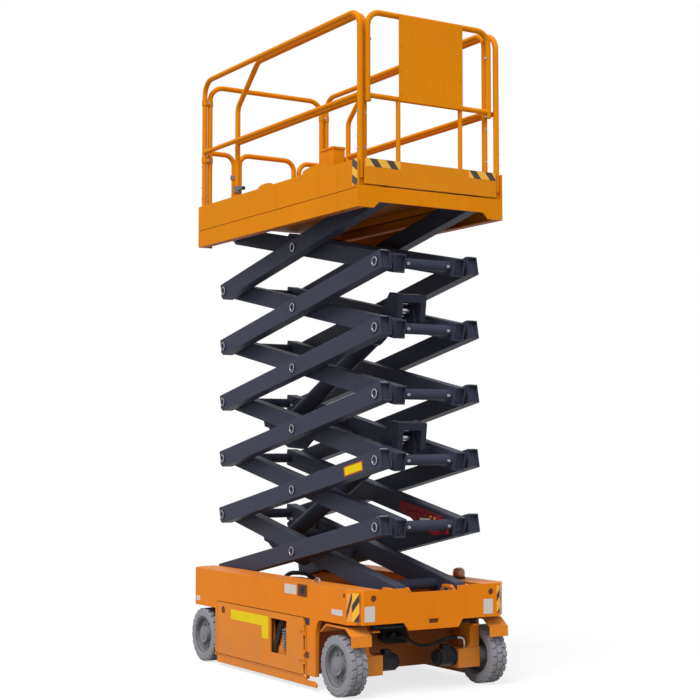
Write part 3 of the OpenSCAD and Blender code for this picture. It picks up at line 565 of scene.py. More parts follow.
def hose(name, points, radius, body, material=None, ends=True):
    """A hose or bent pipe along a smooth line, with crimped ferrules on its ends."""
    line = [Vector(p) for p in points]
    path = []
    for i in range(len(line) - 1):
        p0, p1, p2, p3 = line[max(0, i - 1)], line[i], line[i + 1], line[min(len(line) - 1, i + 2)]
        for t in (k/8 for k in range(8)):
            path.append(0.5*((2*p1) + (p2 - p0)*t + (2*p0 - 5*p1 + 4*p2 - p3)*t*t
                             + (3*p1 - p0 - 3*p2 + p3)*t**3))
    path.append(line[-1])
    ferrule = 1.45 if ends else 1.0
    radii = [radius*(ferrule if i < 4 or i > len(path) - 5 else 1.0) for i in range(len(path))]
    bm = bmesh.new()
    sweep(bm, path, radii, 12)
    return settle(bm, name, material or hose_rubber, body)


HOSE_R, WELL_HOSE_R = 0.0115, 0.016
LOOP = ((0.215, -0.515, 0.39), (0.205, -0.55, 0.408), (0.178, -0.572, 0.375), (0.14, -0.573, 0.3),
        (0.1, -0.573, 0.225), (0.085, -0.565, 0.17), (0.085, -0.545, 0.14))
for i, shift in enumerate((0.0, 0.026)):
    hose(f"power_pack_hose_{i}", [(x + shift, y, z) for x, y, z in LOOP], HOSE_R, "chassis")
WELL_FLOOR, WELL_HOSE_Y = 0.541, -0.118
for i, top in enumerate((0.658, 0.612)):
    arch = [(-0.64 + 0.03*i, 0.0), (-0.6 + 0.03*i, 0.45), (-0.5, 0.86), (-0.4, 0.96), (-0.3, 1.0),
            (-0.2, 0.86), (-0.14 - 0.02*i, 0.45), (-0.11 - 0.03*i, 0.0)]
    hose(f"well_hose_{i}", [(x, WELL_HOSE_Y, WELL_FLOOR + (top - WELL_FLOOR)*h) for x, h in arch],
         WELL_HOSE_R, "chassis")
FINS, FIN_Z, FIN_PITCH, FIN_THICK = 8, 0.222, 0.0165, 0.007
bm = bmesh.new()
block(bm, (0.215, -0.566, 0.215), (0.3, -0.555, 0.355), 0.002)
for i in range(FINS):
    z = FIN_Z + FIN_PITCH*i
    block(bm, (0.217, -0.584, z), (0.298, -0.565, z + FIN_THICK), 0.0012)
settle(bm, "power_pack_cooler", step_steel, "chassis")
bm = bmesh.new()
block(bm, (-0.03, -0.56, 0.104), (0.07, -0.552, 0.392), 0.002)
settle(bm, "power_pack_bulkhead", panel_orange, "chassis")
bm = bmesh.new()
turned(bm, [(0.04, 0), (0.046, 0.006), (0.046, 0.02), (0.03, 0.026), (0.03, 0.034), (0.0, 0.036)],
       facing((0.15, -0.49, 0.392), (0, 0, 1), (0, 1, 0)))
turned(bm, [(0.03, 0), (0.034, 0.004), (0.034, 0.016), (0.02, 0.02), (0.0, 0.02)],
       facing((0.41, -0.51, 0.342), (0, 0, 1), (0, 1, 0)))
settle(bm, "power_pack_fittings", zinc, "chassis")

# Beacon: an amber lens moulded with upright ribs, screwed on a black rubber base.
# The lens is clear-coated plastic that lets some light through, dusty on its crown.

lens, tree, shader = bare("amber_lens")
film = placed(tree, settled_dust, Ledges=0.4, Low=0.0)
cloud = noise(tree, 30.0)
amber = mixed(tree, cloud, tone(150, 74, 20), tone(190, 104, 34))
wire(tree, mixed(tree, film["Mask"], amber, tone(150, 120, 90)), shader.inputs["Base Color"])
wire(tree, between(tree, cloud, 0.3, 0.7, 0.12, 0.24), shader.inputs["Roughness"])
shader.inputs["Coat Weight"].default_value = 0.4
shader.inputs["Transmission Weight"].default_value = 0.25
RIB, RIB_TOP, LENS_STEPS = 0.0012, 0.06, 48
low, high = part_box("beacon")
base = Vector(((low.x + high.x)/2, (low.y + high.y)/2, low.z))
bm = bmesh.new()
rows = []
for r, h in ((0.041, 0.012), (0.0415, 0.04), (0.039, 0.054), (0.032, 0.066), (0.02, 0.0725)):
    crest, groove = circle(r, h, LENS_STEPS), circle(r - RIB*(h < RIB_TOP), h, LENS_STEPS)
    rows.append([bm.verts.new(base + (groove if i % 2 else crest)[i]) for i in range(LENS_STEPS)])
rows.append([bm.verts.new(base + Vector((0, 0, 0.0755)))])
wrap(bm, rows)
dome = settle(bm, "beacon_dome", lens, "chassis", sharp=60)
bm = bmesh.new()
turned(bm, [(0.045, 0), (0.045, 0.008), (0.042, 0.012), (0.042, 0.016), (0.038, 0.017)],
       Matrix.Translation(base), 40)
settle(bm, "beacon_base", black_cast, "chassis")
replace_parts(dome, "beacon")

# Tyres: solid non-marking rubber pressed on steel rims, pale grey, with a block tread and a shouldered wall.
# The tread is three staggered rows of blocks that reach the CAD tyre's radius.

WHEEL_R, WHEEL_W, RIM_R, GROOVE, TREAD = 0.1905, 0.127, 0.131, 0.009, 22
rubber, tree, shader = bare("grey_rubber")
film = placed(tree, settled_dust, Ledges=0.0, Low=0.5, Reach=0.35)
edge = placed(tree, edge_rub, Amount=0.5, Grain=80.0)
slow = noise(tree, 14.0, 5.0, 0.6)
body = mixed(tree, slow, tone(128, 128, 136), tone(148, 148, 154))
body = mixed(tree, edge["Mask"], body, tone(176, 175, 178))
finish(tree, shader, mixed(tree, film["Mask"], body, tone(128, 124, 120)),
       between(tree, slow, 0.3, 0.7, 0.72, 0.9), noise(tree, 380.0), 0.0006, gloss=0.1)


def tread_block(bm, at, y0, y1, a0, a1, skew, r0, r1):
    """One tread block, bent round the tyre between two angles, its flanks drafted."""
    cuts, rings = 3, []
    for r, ease in ((r0, 0.0), (r1 - 0.0015, 0.10), (r1, 0.16)):
        da, dy = (a1 - a0)*ease*0.5, (y1 - y0)*ease*0.35
        flanks = []
        for y, lean in ((y0 + dy, 0.0), (y1 - dy, skew)):
            span = [a0 + da + (a1 - a0 - 2*da)*i/cuts + lean for i in range(cuts + 1)]
            flanks.append([bm.verts.new(at @ Vector((r*cos(a), y, r*sin(a)))) for a in span])
        rings.append(flanks[0] + flanks[1][::-1])
    wrap(bm, rings, ends=False)
    top = rings[-1]
    for i in range(cuts):
        bm.faces.new((top[i], top[i + 1], top[-2 - i], top[-1 - i]))


def treaded_tyre(name, centre, body, node):
    bm = bmesh.new()
    at = Matrix.Translation(centre)
    around = at @ Matrix.Rotation(pi/2, 4, "X")
    w = WHEEL_W/2
    wall = [(RIM_R, -w + 0.006), (RIM_R + 0.004, -w + 0.002), (RIM_R + 0.016, -w + 0.001),
            (RIM_R + 0.03, -w + 0.003), (WHEEL_R - 0.016, -w + 0.002), (WHEEL_R - GROOVE, -w + 0.012)]
    wall += [(r, -h) for r, h in reversed(wall)]
    wrap(bm, [[bm.verts.new(around @ p) for p in circle(r, h, 72)] for r, h in wall], ends=False)
    pitch = 2*pi/TREAD
    lanes = ((-w + 0.005, -0.024, 0.0, 0.18, 0.016), (-0.019, 0.019, 0.42, 0.12, 0.012),
             (0.024, w - 0.005, 0.1, -0.18, 0.016))
    for i in range(TREAD):
        for y0, y1, shift, lean, deep in lanes:
            a = (i + shift)*pitch
            tread_block(bm, at, y0, y1, a, a + 0.78*pitch, lean*pitch, WHEEL_R - deep, WHEEL_R)
    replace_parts(settle(bm, name, rubber, body, sharp=28), node)


# Rims: pressed steel discs in grey enamel, bolted to the hub by a ring of wheel bolts.
# A pressed cap with a hub nut closes the middle.


def hex_bolt(bm, at, size, washer=True):
    """A bolt head on its washer, the frame's z out of the surface. Size is the thread's diameter."""
    if washer:
        turned(bm, [(size*1.15, 0), (size*1.15, size*0.16), (size*1.08, size*0.2)], at, 18)
    turned(bm, [(size*0.92, size*0.2), (size*0.92, size*0.72), (size*0.78, size*0.86)], at, 6)


BOLTS, BOLT_RING, BOLT_DEEP, CAP_DEEP = 9, 0.082, 0.040, 0.006
rim_grey = enamel("rim_grey", tone(128, 128, 133), tone(128, 128, 132), ledges=0.1, low=0.4, reach=0.4,
                  dust=(116, 112, 108))
for end in ("front", "rear"):
    for s, side in SIDES:
        low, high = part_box(f"tyre_{end}_{side}")
        centre = (low + high)/2
        treaded_tyre(f"treaded_tyre_{end}_{side}", centre, f"wheel_{end}_{side}", f"tyre_{end}_{side}")
        coat(rim_grey, f"rim_{end}_{side}")
        bm = bmesh.new()
        for p in circle(BOLT_RING, 0, BOLTS):
            at = centre + Vector((p.x, s*(WHEEL_W/2 - BOLT_DEEP), p.y))
            hex_bolt(bm, facing(at, (0, s, 0)), 0.011)
        cap = facing(centre + Vector((0, s*(WHEEL_W/2 - CAP_DEEP), 0)), (0, s, 0))
        turned(bm, [(0.034, 0), (0.034, 0.003), (0.026, 0.0045)], cap, 32)
        turned(bm, [(0.021, 0.0045), (0.021, 0.0055), (0.014, 0.006), (0.0, 0.006)], cap, 6)
        settle(bm, f"wheel_bolts_{end}_{side}", rim_grey, f"wheel_{end}_{side}")

# Steering and drive: black motors with a ring of cover bolts on the orange knuckles.
# A plated elbow on the far motor takes the feed hose, which runs across to the valve block's port.
# The cylinder rods are ground steel with hard chrome, smeared by oil.

chrome, tree, shader = bare("hard_chrome")
smear = noise(tree, 26.0, 5.0)
finish(tree, shader, mixed(tree, smear, tone(132, 134, 139), tone(176, 178, 182)),
       between(tree, smear, 0.3, 0.75, 0.1, 0.26), smear, 0.00005, metal=1.0)
coat(chrome, "lower_rod", "upper_rod")

MOTOR_END, COVER_RING = 0.152, 0.03
for s, side in SIDES:
    bm = bmesh.new()
    for i in range(6):
        a = 2*pi*(i + 0.5)/6
        at = (AXLE_X + COVER_RING*cos(a), s*MOTOR_END, AXLE_Z + COVER_RING*sin(a))
        hex_bolt(bm, facing(at, (0, -s, 0)), 0.007, False)
    settle(bm, f"motor_bolts_{side}", black_enamel, f"knuckle_{side}")
ELBOW = [(0.96, 0.366, 0.244), (0.96, 0.366, 0.272), (0.96, 0.362, 0.292), (0.958, 0.35, 0.306),
         (0.955, 0.33, 0.311), (0.952, 0.305, 0.312)]
FEED = [(0.953, 0.311, 0.312), (0.945, 0.28, 0.311), (0.925, 0.245, 0.303), (0.895, 0.2, 0.283),
        (0.868, 0.15, 0.264), (0.845, 0.1, 0.262), (0.82, 0.053, 0.284), (0.79, 0.02, 0.314),
        (0.757, 0.01, 0.3255)]
hose("motor_elbow_far", ELBOW, 0.0105, "knuckle_far", zinc)
feed = hose("motor_feed_hose", FEED, HOSE_R, None)
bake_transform(feed)

# Scissor arms: rectangular steel tube in dark grey enamel, bored for pins, rubbed where they pass each other.
# Each pin end shows a plated keeper ring, each front end carries a pale nylon rest pad that is partly a
# painted highlight on the arm end's top edge, and the cross tubes have plated grease nipples.

arm_grey = enamel("arm_grey", tone(58, 61, 76), tone(124, 126, 136), 0.45, 0.6, 0.12, dust=(96, 96, 100),
                  gloss=0.05)
prop_red = enamel("prop_red", tone(122, 22, 34), tone(176, 96, 92), 0.36, ledges=0.2)
STAGES = 6
for k in range(1, STAGES + 1):
    coat(arm_grey, f"outer_arms_{k}", f"inner_arms_{k}")
coat(arm_grey, "lower_barrel", "upper_barrel")
coat(prop_red, "safety_prop")

PIVOT_X, PIVOT_Z, ARM, TILT = 1.054, 0.6305, 2.158, radians(11.2)
RISE = ARM*sin(TILT)
SLIDE_X = PIVOT_X - ARM*cos(TILT)
PIN_END, PAD_Y, PAD_HALF, NIPPLE_Y = 0.389, 0.34, 0.026, 0.155
KEEPER = [(0.0312, -0.004), (0.0312, 0.001), (0.029, 0.0028), (0.0252, 0.0028), (0.0236, 0.001),
          (0.0236, -0.004)]
NIPPLE = [(0.01, 0), (0.01, 0.005), (0.006, 0.007), (0.006, 0.014), (0.0075, 0.017), (0.0, 0.021)]
pad_nylon_highlight = moulded("pale_nylon_pad_highlight", tone(176, 176, 178), 0.45, 300.0)


def along_outer(k):
    """A frame at an outer arm's rear pin: x runs up the arm and z stands square above it."""
    return Matrix.Translation((SLIDE_X, 0, PIVOT_Z + (k - 1)*RISE)) @ Matrix.Rotation(-TILT, 4, "Y")


for k in range(1, STAGES + 1):
    base = PIVOT_Z + (k - 1)*RISE
    rings, pads, nipples = bmesh.new(), bmesh.new(), bmesh.new()
    for t in (0.0, 0.5, 1.0):
        if (k, t) in ((1, 0.0), (STAGES, 1.0)):
            continue
        for s, side in SIDES:
            at = facing((PIVOT_X - t*(PIVOT_X - SLIDE_X), s*PIN_END, base + t*RISE), (0, s, 0))
            turned(rings, KEEPER, at, 36, True)
    for s, side in SIDES:
        # the pale pad is partly a painted highlight on the top edge of the arm's front end
        block(pads, (ARM - 0.01, s*PAD_Y - PAD_HALF, 0.06), (ARM + 0.05, s*PAD_Y + PAD_HALF, 0.0645), 0.0015,
              along_outer(k))
        at = Matrix.Translation((PIVOT_X, s*NIPPLE_Y, base)) @ facing((0.034, 0, -0.004), (1, 0, -0.1))
        turned(nipples, NIPPLE, at, 12)
    settle(rings, f"pin_rings_{k}", zinc, f"inner_{k}")
    settle(pads, f"rest_pad_highlights_{k}", pad_nylon_highlight, f"outer_{k}")
    settle(nipples, f"grease_nipples_{k}", zinc, f"inner_{k}")

# Cylinder mounts: burnt-out steel plates welded between the inner arms and sprayed with them.
# Each head has a box of two cheeks under a bridge, and each foot a pair of deep gussets with pads to the arm.


def along_arm(k):
    """A frame at an inner arm's front pin: x runs up the arm and z stands square above it."""
    return Matrix(((-cos(TILT), 0, sin(TILT), PIVOT_X), (0, 1, 0, 0),
                   (sin(TILT), 0, cos(TILT), PIVOT_Z + (k - 1)*RISE), (0, 0, 0, 1)))


CHEEK = [(0.169, 0.03), (0.181, 0.206), (0.295, 0.206), (0.389, 0.044), (0.389, 0.03)]
BRIDGE = [(0.1775, 0.156), (0.1815, 0.205), (0.262, 0.205), (0.262, 0.195), (0.191, 0.195), (0.188, 0.156)]
GUSSET = [(1.98, -0.045), (1.9, -0.08), (1.8, -0.115), (1.752, -0.14), (1.6, -0.188), (1.467, -0.21),
          (1.25, -0.178), (1.155, -0.09), (1.155, -0.03), (1.98, 0.0)]
GUSSET_PAD = [(1.3, -0.045), (1.8, -0.045), (1.8, 0.03), (1.3, 0.03)]
STOW, WELL_ROOM = sin(radians(3.4)), 0.0825
for k in (3, 5):
    bm = bmesh.new()
    for s, side in SIDES:
        slab(bm, CHEEK, s*0.07, s*0.112, along_arm(k), 0.003)
    slab(bm, BRIDGE, -0.075, 0.075, along_arm(k), 0.002)
    settle(bm, f"head_mount_box_{k}", arm_grey, f"inner_{k}")
for k in (1, 3):
    # the lowest gussets stop short of the well's floor when the stack is stowed
    room = WELL_ROOM if k == 1 else 1.0
    bm = bmesh.new()
    for s, side in SIDES:
        slab(bm, [(a, max(h, -room - a*STOW)) for a, h in GUSSET], s*0.15, s*0.182, along_arm(k), 0.003)
        slab(bm, GUSSET_PAD, s*0.178, s*0.1915, along_arm(k), 0.001)
    settle(bm, f"foot_gussets_{k}", arm_grey, f"inner_{k}")

# Arm strip: a blank yellow film in a rust-coloured border.
# Both are printed polyester, stuck on the near side of the second stage's outer arm.

label = along_outer(2) @ Matrix.Translation((1.886, -0.38, -0.004)) @ facing((0, 0, 0), (0, -1, 0))
bm = bmesh.new()
soft_plate(bm, 0.212, 0.05, 0.0014, 0.005, label)
settle(bm, "arm_yellow_strip", yellow_film, "outer_2")
bm = bmesh.new()
soft_plate(bm, 0.236, 0.066, 0.001, 0.006, label)
rust_film = film_plate("rust_film", tone(190, 96, 30), tone(120, 58, 24))
settle(bm, "arm_strip_border", rust_film, "outer_2")

# Prop fittings: a catch plate welded to the red safety prop, with a blank pale tag riveted to it.
# Brass-coloured pins hold the prop in its catch.

PROP_Y, CATCH_BACK, CATCH_FACE = 0.15, 0.158, 0.1488
CATCH = [(0.56, 1.13), (0.97, 1.1), (1.085, 1.075), (1.085, 0.992), (0.92, 0.977), (0.7, 1.06)]
brass = moulded("brass_pins", tone(168, 112, 40), 0.4, 700.0)
bm = bmesh.new()
soft_plate(bm, 0.12, 0.045, 0.002, 0.004, facing((0.83, PROP_Y, 1.062), (0, -1, 0)))
settle(bm, "prop_blank_tag", pale_film, "inner_2")
bm = bmesh.new()
slab(bm, CATCH, CATCH_FACE, CATCH_BACK)
settle(bm, "prop_catch_plate", prop_red, "inner_2")
bm = bmesh.new()
for x, z in ((0.945, 1.085), (0.955, 1.06), (0.9, 1.095)):
    turned(bm, [(0.011, 0), (0.011, 0.008), (0.007, 0.012), (0.0, 0.012)],
           facing((x, PROP_Y, z), (0, -1, 0)), 14)
settle(bm, "prop_brass_pins", brass, "inner_2")

# Lift cylinders: steel barrels in the arms' grey enamel, closed by a screwed gland with a ring of bolts.
# A plated port at the foot feeds a steel pipe that lies along the barrel.

CYLINDER, FOOT_ALONG, FOOT_BELOW = radians(25.6554), ARM/2 + 0.72, 0.09
PORT_X, PORT_TOP, PIPE_UP = 0.085, 0.0835, 0.0675
PIPE = [(PORT_X, 0, 0.105), (0.1, 0.0, 0.125), (0.16, 0.01, 0.118), (0.24, 0.02, 0.082), (0.4, 0.02, PIPE_UP),
        (1.2, 0.02, PIPE_UP), (1.27, 0.02, PIPE_UP)]
for which, k in (("lower", 1), ("upper", 3)):
    foot = along_arm(k) @ Vector((FOOT_ALONG, 0, -FOOT_BELOW))
    lie = Matrix.Translation(foot) @ Matrix.Rotation(-CYLINDER, 4, "Y")
    outward = lie @ Matrix.Rotation(pi/2, 4, "Y")
    bm = bmesh.new()
    turned(bm, [(0.0665, 1.305), (0.0675, 1.309), (0.0675, 1.322), (0.0655, 1.326)], outward, 40)
    turned(bm, [(0.0505, 1.37), (0.0505, 1.378), (0.046, 1.382), (0.0365, 1.382)], outward, 40)
    for p in circle(0.058, 1.37, 8):
        hex_bolt(bm, outward @ Matrix.Translation(p), 0.006, False)
    turned(bm, [(0.016, 0), (0.016, 0.01), (0.011, 0.013), (0.011, 0.03), (0.0, 0.03)],
           lie @ Matrix.Translation((PORT_X, 0, PORT_TOP)), 6)
    settle(bm, f"{which}_cylinder_fittings", zinc, f"{which}_barrel")
    hose(f"{which}_feed_pipe", [lie @ Vector(p) for p in PIPE], 0.006, f"{which}_barrel",
         arm_grey, False)

# Platform: folded deck frame, toe-boards and bent tube rails in yellow-orange enamel, bolted at the posts.
# The extension deck is chequer plate, its lugs worn bright where people walk.

BARE_YELLOW = tone(176, 118, 54)
# the faces that look down under the deck take brown painted shade
platform_yellow = enamel("platform_yellow", tone(220, 132, 12), BARE_YELLOW, 0.45, 0.45, 0.15, gloss=0.02,
                         bay={"Back": 0.0, "Front": 0.0, "Half": 0.0, "Top": 3.25},
                         chips={"Amount": 0.15, "Low": 3.2, "High": 3.37})
coat(platform_yellow, "platform_frame", "side_rail_near", "side_rail_far", "rear_rail", "rear_gate",
     "extension_rail", "sign_panel")

LUG_PITCH = 150.0
chequer, tree, shader = bare("chequer_plate")
skin = placed(tree, sprayed_skin)
edge = placed(tree, edge_rub, Amount=0.45)
film = placed(tree, settled_dust, Ledges=0.5, Low=0.0)
point = axes(tree)
waves = [maths(tree, "SINE", product(tree, maths(tree, way, point["X"], point["Y"]), LUG_PITCH))
         for way in ("ADD", "SUBTRACT")]
lugs = product(tree, between(tree, maths(tree, "ABSOLUTE", product(tree, *waves)), 0.35, 0.7),
               between(tree, axes(tree, "Normal")["Z"], 0.8, 0.95))
paint = mixed(tree, skin["Drift"], tone(206, 124, 10), tone(222, 138, 14))
paint = mixed(tree, product(tree, lugs, 0.35), paint, tone(206, 160, 96))
paint = mixed(tree, edge["Mask"], paint, BARE_YELLOW)
finish(tree, shader, mixed(tree, film["Mask"], paint, tone(140, 122, 100)),
       between(tree, film["Mask"], 0.0, 0.6, 0.34, 0.7),
       maths(tree, "ADD", lugs, product(tree, skin["Height"], 0.1)), 0.0016, edge["Rounded"], 0.08)
coat(chequer, "extension_deck")

PLAT_Y, TOE, RAIL_Y, RAIL_TOP, RAIL_MID, EXT_Y = 0.565, 3.3544, 0.5337, 4.3084, 3.7694, 0.4747
POST_X, FRONT_POST_X, POST_OUT = -1.095, 1.118, 0.018
bm = bmesh.new()
for s, side in SIDES:
    for x in (POST_X, FRONT_POST_X):
        for z in (3.42, 3.5, 3.66):
            hex_bolt(bm, facing((x, s*(RAIL_Y + POST_OUT), z), (0, s, 0)), 0.0068)
settle(bm, "platform_bolts", zinc, "platform")

# Extension rail: bent steel tubes welded into side frames, a front hoop and a middle bar.
# It stands in place of the CAD rail, on the same feet, and slides with the extension deck.


def tube(bm, corners, radius, bend=0.09):
    """A tube through the corners, each bent to a radius."""
    line = [Vector(c) for c in corners]
    path = [line[0]]
    for a, b, c in zip(line, line[1:], line[2:]):
        u, v = (a - b).normalized(), (c - b).normalized()
        turn = pi - u.angle(v)
        middle = b + (u + v).normalized()*bend/cos(turn/2)
        start = b + u*bend*tan(turn/2) - middle
        spin = u.cross(v).normalized()
        path += [middle + Matrix.Rotation(-turn*i/8, 3, spin) @ start for i in range(9)]
    path.append(line[-1])
    sweep(bm, path, [radius]*len(path), 20)


TUBE_R, MID_R, STUB_R, EXT_FOOT = 0.019, 0.017, 0.015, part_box("extension_rail")[0].z
POST, HOOP, LEG, SLOPE, DROP = 1.07, 1.112, -0.666, -0.35, 0.275
STUB_Y, TIE_Z, HOOP_FOOT = 0.243, 4.1314, RAIL_MID - 0.04
bm = bmesh.new()
for s, side in SIDES:
    y = s*EXT_Y
    tube(bm, [(POST, y, EXT_FOOT), (POST, y, RAIL_TOP), (SLOPE, y, RAIL_TOP), (LEG, y, RAIL_TOP - DROP),
              (LEG, y, EXT_FOOT)], TUBE_R)
    tube(bm, [(POST, y, RAIL_MID), (LEG, y, RAIL_MID)], MID_R)
    tube(bm, [(HOOP, s*STUB_Y, EXT_FOOT), (HOOP, s*STUB_Y, RAIL_MID)], STUB_R)
    for z in (RAIL_MID, TIE_Z):
        block(bm, (POST, y - 0.012, z - 0.02), (HOOP, y + 0.012, z + 0.02), 0.002)
tube(bm, [(HOOP, -EXT_Y, HOOP_FOOT), (HOOP, -EXT_Y, RAIL_TOP), (HOOP, EXT_Y, RAIL_TOP),
          (HOOP, EXT_Y, HOOP_FOOT)], TUBE_R)
tube(bm, [(HOOP, -EXT_Y, RAIL_MID), (HOOP, EXT_Y, RAIL_MID)], MID_R)
rail = settle(bm, "extension_rail_tubes", platform_yellow, "extension")
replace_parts(rail, "extension_rail")

# Rail seats: short tongues on the toe-boards' top edge that hold the removable rails.
# They are cut from the same sheet as the boards and welded on.

bm = bmesh.new()
for s, side in SIDES:
    for x, half, tall in ((-0.08, 0.1, 0.024), (0.6, 0.16, 0.04)):
        crown = [(x + half*cos(a), TOE - 0.002 + tall*sin(a)**0.6)
                 for a in (pi*i/12 for i in range(13))]
        wrap(bm, [[bm.verts.new((px, s*(PLAT_Y - inset), pz)) for px, pz in crown]
                  for inset in (0.0115, 0.0005)])
settle(bm, "rail_seats", platform_yellow, "platform")

# Rail clamps: split steel clamps that tie the posts of the rear hoop and the side rails together.
# Each is closed by plated bolts and sprayed with the rails.

HOOP_Y, CLAMP_TALL, CLAMP_HALF, CLAMP_Y = 0.4897, 0.042, 0.0175, 0.512
bm, bolts = bmesh.new(), bmesh.new()
for s, side in SIDES:
    for z in (4.1484, 3.7094):
        for y in (RAIL_Y, HOOP_Y):
            at = facing((POST_X, s*y, z - CLAMP_TALL/2), (0, 0, 1), (0, 1, 0))
            turned(bm, [(0.0193, 0), (0.0225, 0), (0.0225, CLAMP_TALL), (0.0193, CLAMP_TALL)], at, ring=True)
        block(bm, (POST_X - CLAMP_HALF, s*CLAMP_Y - 0.008, z - 0.024),
              (POST_X + CLAMP_HALF, s*CLAMP_Y + 0.008, z + 0.024), 0.002)
        for way in (1, -1):
            hex_bolt(bolts, facing((POST_X + way*CLAMP_HALF, s*CLAMP_Y, z), (way, 0, 0)), 0.009)
settle(bm, "rail_clamps", platform_yellow, "platform")
settle(bolts, "rail_clamp_bolts", zinc, "platform")

# Document box: a folded steel box with a lid, sprayed with the platform.
# It hangs by two strap hooks on the far side rail's middle tube.

bm = bmesh.new()
block(bm, (-0.955, 0.405, 3.6), (-0.775, 0.512, 3.852), 0.004)
block(bm, (-0.96, 0.4, 3.846), (-0.77, 0.514, 3.866), 0.003)
for x in (-0.92, -0.81):
    for y0, y1, z0, z1 in ((0.508, 0.556, 3.74, 3.746), (0.508, 0.556, 3.789, 3.795),
                           (0.5525, 0.5575, 3.742, 3.793)):
        block(bm, (x - 0.014, y0, z0), (x + 0.014, y1, z1), 0.001)
settle(bm, "document_box", platform_yellow, "platform")

# Toe-board tapes: hazard tape at the front ends of both side boards and on the extension's front board.
# It is the same printed film as on the chassis corners.

BOARD_TAPE_X, BOARD_TAPE_Z, FRONT_TAPE_Z, BOARD_TAPE = 1.105, 3.272, 3.334, 0.0012
board_tape = hazard_tape("board_tape", 0.6, 0.28, 0.105)
front_tape = hazard_tape("front_board_tape", 1.25, 0.22, 0.156, 0.44)
for (s, side), middle, wide in zip(SIDES, (-0.3765, 0.3985), (0.261, 0.217)):
    stick(f"board_tape_{side}", board_tape, "platform", 0.06, 0.166,
          facing((BOARD_TAPE_X, s*PLAT_Y, BOARD_TAPE_Z), (0, s, 0)), BOARD_TAPE)
    stick(f"front_tape_{side}", front_tape, "extension", wide, 0.05,
          facing((FRONT, middle, FRONT_TAPE_Z), (1, 0, 0)), BOARD_TAPE)

# Extension latches: spring bolts in grey steel housings at the feet of the extension's rear legs.
# Each is screwed to its leg and pulled by a black plastic knob.

LATCH_X, LATCH_Z, LATCH_IN, LATCH_OUT, KNOB_X = -0.642, 3.428, 0.452, 0.497, -0.585
for s, side in SIDES:
    bm = bmesh.new()
    block(bm, (-0.69, s*LATCH_IN, 3.4), (LATCH_X, s*LATCH_OUT, 3.455), 0.003)
    turned(bm, [(0.008, 0), (0.008, 0.055), (0.006, 0.058), (0.0, 0.058)],
           facing((LATCH_X, s*EXT_Y, LATCH_Z), (1, 0, 0)), 16)
    for z in (3.408, 3.447):
        hex_bolt(bm, facing((LEG, s*LATCH_OUT, z), (0, s, 0)), 0.006)
    settle(bm, f"extension_latch_{side}", step_steel, "extension")
    bm = bmesh.new()
    turned(bm, [(0.0, 0), (0.011, 0), (0.014, 0.004), (0.014, 0.016), (0.009, 0.022), (0.0, 0.023)],
           facing((KNOB_X, s*EXT_Y, LATCH_Z), (1, 0, 0)), 20)
    settle(bm, f"latch_knob_{side}", black_cast, "extension")

# Extension post bolts and sign rivets: plated bolts through the front posts and the hoop's ties.
# The blank sign sheet is held by painted dome rivets down each edge.

bm = bmesh.new()
for s, side in SIDES:
    for z in (3.44, 3.66):
        hex_bolt(bm, facing((1.0885, s*EXT_Y, z), (1, 0, 0)), 0.0065)
    for z in (3.74, TIE_Z):
        hex_bolt(bm, facing((HOOP, s*0.4562, z), (0, -s, 0)), 0.009)
settle(bm, "extension_bolts", zinc, "extension")
SIGN_FACE, RIVET_Y = 1.1353, 0.235
bm = bmesh.new()
for s, side in SIDES:
    for z in (3.80, 3.95, 4.12, 4.27):
        turned(bm, [(0.006, 0), (0.0055, 0.0016), (0.003, 0.0026), (0.0, 0.003)],
               facing((SIGN_FACE, s*RIVET_Y, z), (1, 0, 0)), 14)
settle(bm, "sign_rivets", platform_yellow, "extension")

# Gate hardware: steel hinge collars on the swing gate's post, and a spring latch on its free end.
# They are welded on and finished in grey enamel.

GATE_HINGE_Y = -0.285
bm = bmesh.new()
for z in (3.3934, 3.5834):
    turned(bm, [(0.0262, 0.004), (0.0275, 0.006), (0.0275, 0.03), (0.0262, 0.032)],
           facing((POST_X, GATE_HINGE_Y, z), (0, 0, 1), (0, 1, 0)))
block(bm, (-1.103, 0.238, 3.56), (-1.087, 0.256, 3.63), 0.002)
turned(bm, [(0.007, 0), (0.007, 0.03), (0.005, 0.032), (0.0, 0.032)],
       facing((-1.087, 0.245, 3.595), (1, 0, 0)), 14)
settle(bm, "gate_hardware", step_steel, "gate")

# Control box: a moulded grey case hung on the front rail by its back plate.
# On its top are a joystick with a rubber boot, a red mushroom stop and a row of switches.

low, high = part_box("control_box")
CASE_TALL, LID, STICK_BACK = 0.19, 0.004, 0.07
case_top = low.z + CASE_TALL
panel_top = case_top + LID
grey_case = moulded("grey_case", tone(70, 70, 74), 0.48)
stop_red = moulded("stop_red", tone(176, 26, 22), 0.3, 1200.0)


def on_panel(x, y, z):
    """A frame that looks up from the control panel, its y towards the front."""
    return facing((x, y, z), (0, 0, 1), (1, 0, 0))


bm = bmesh.new()
block(bm, low, (high.x, high.y, case_top), 0.008)
block(bm, (high.x - 0.01, -0.09, case_top - 0.001), (high.x, 0.09, high.z), 0.002)
soft_plate(bm, 0.22, 0.1, LID, 0.01, on_panel(low.x + 0.06, 0, case_top))
case = settle(bm, "control_case", grey_case, "extension")
bm = bmesh.new()
turned(bm, [(0.02, 0), (0.018, 0.006), (0.012, 0.009), (0.010, 0.013), (0.007, 0.018), (0.007, 0.03),
            (0.012, 0.036), (0.013, 0.048), (0.008, 0.055), (0.0, 0.056)],
       on_panel(high.x - STICK_BACK, -0.06, panel_top), 24)
for i in range(4):
    soft_plate(bm, 0.02, 0.03, 0.005, 0.004, on_panel(low.x + 0.03, -0.075 + 0.035*i, panel_top))
settle(bm, "control_stick_and_switches", black_cast, "extension")
bm = bmesh.new()
turned(bm, [(0.012, 0), (0.012, 0.006), (0.021, 0.009), (0.022, 0.013), (0.017, 0.016), (0.0, 0.0175)],
       on_panel(high.x - STICK_BACK, 0.07, panel_top), 30)
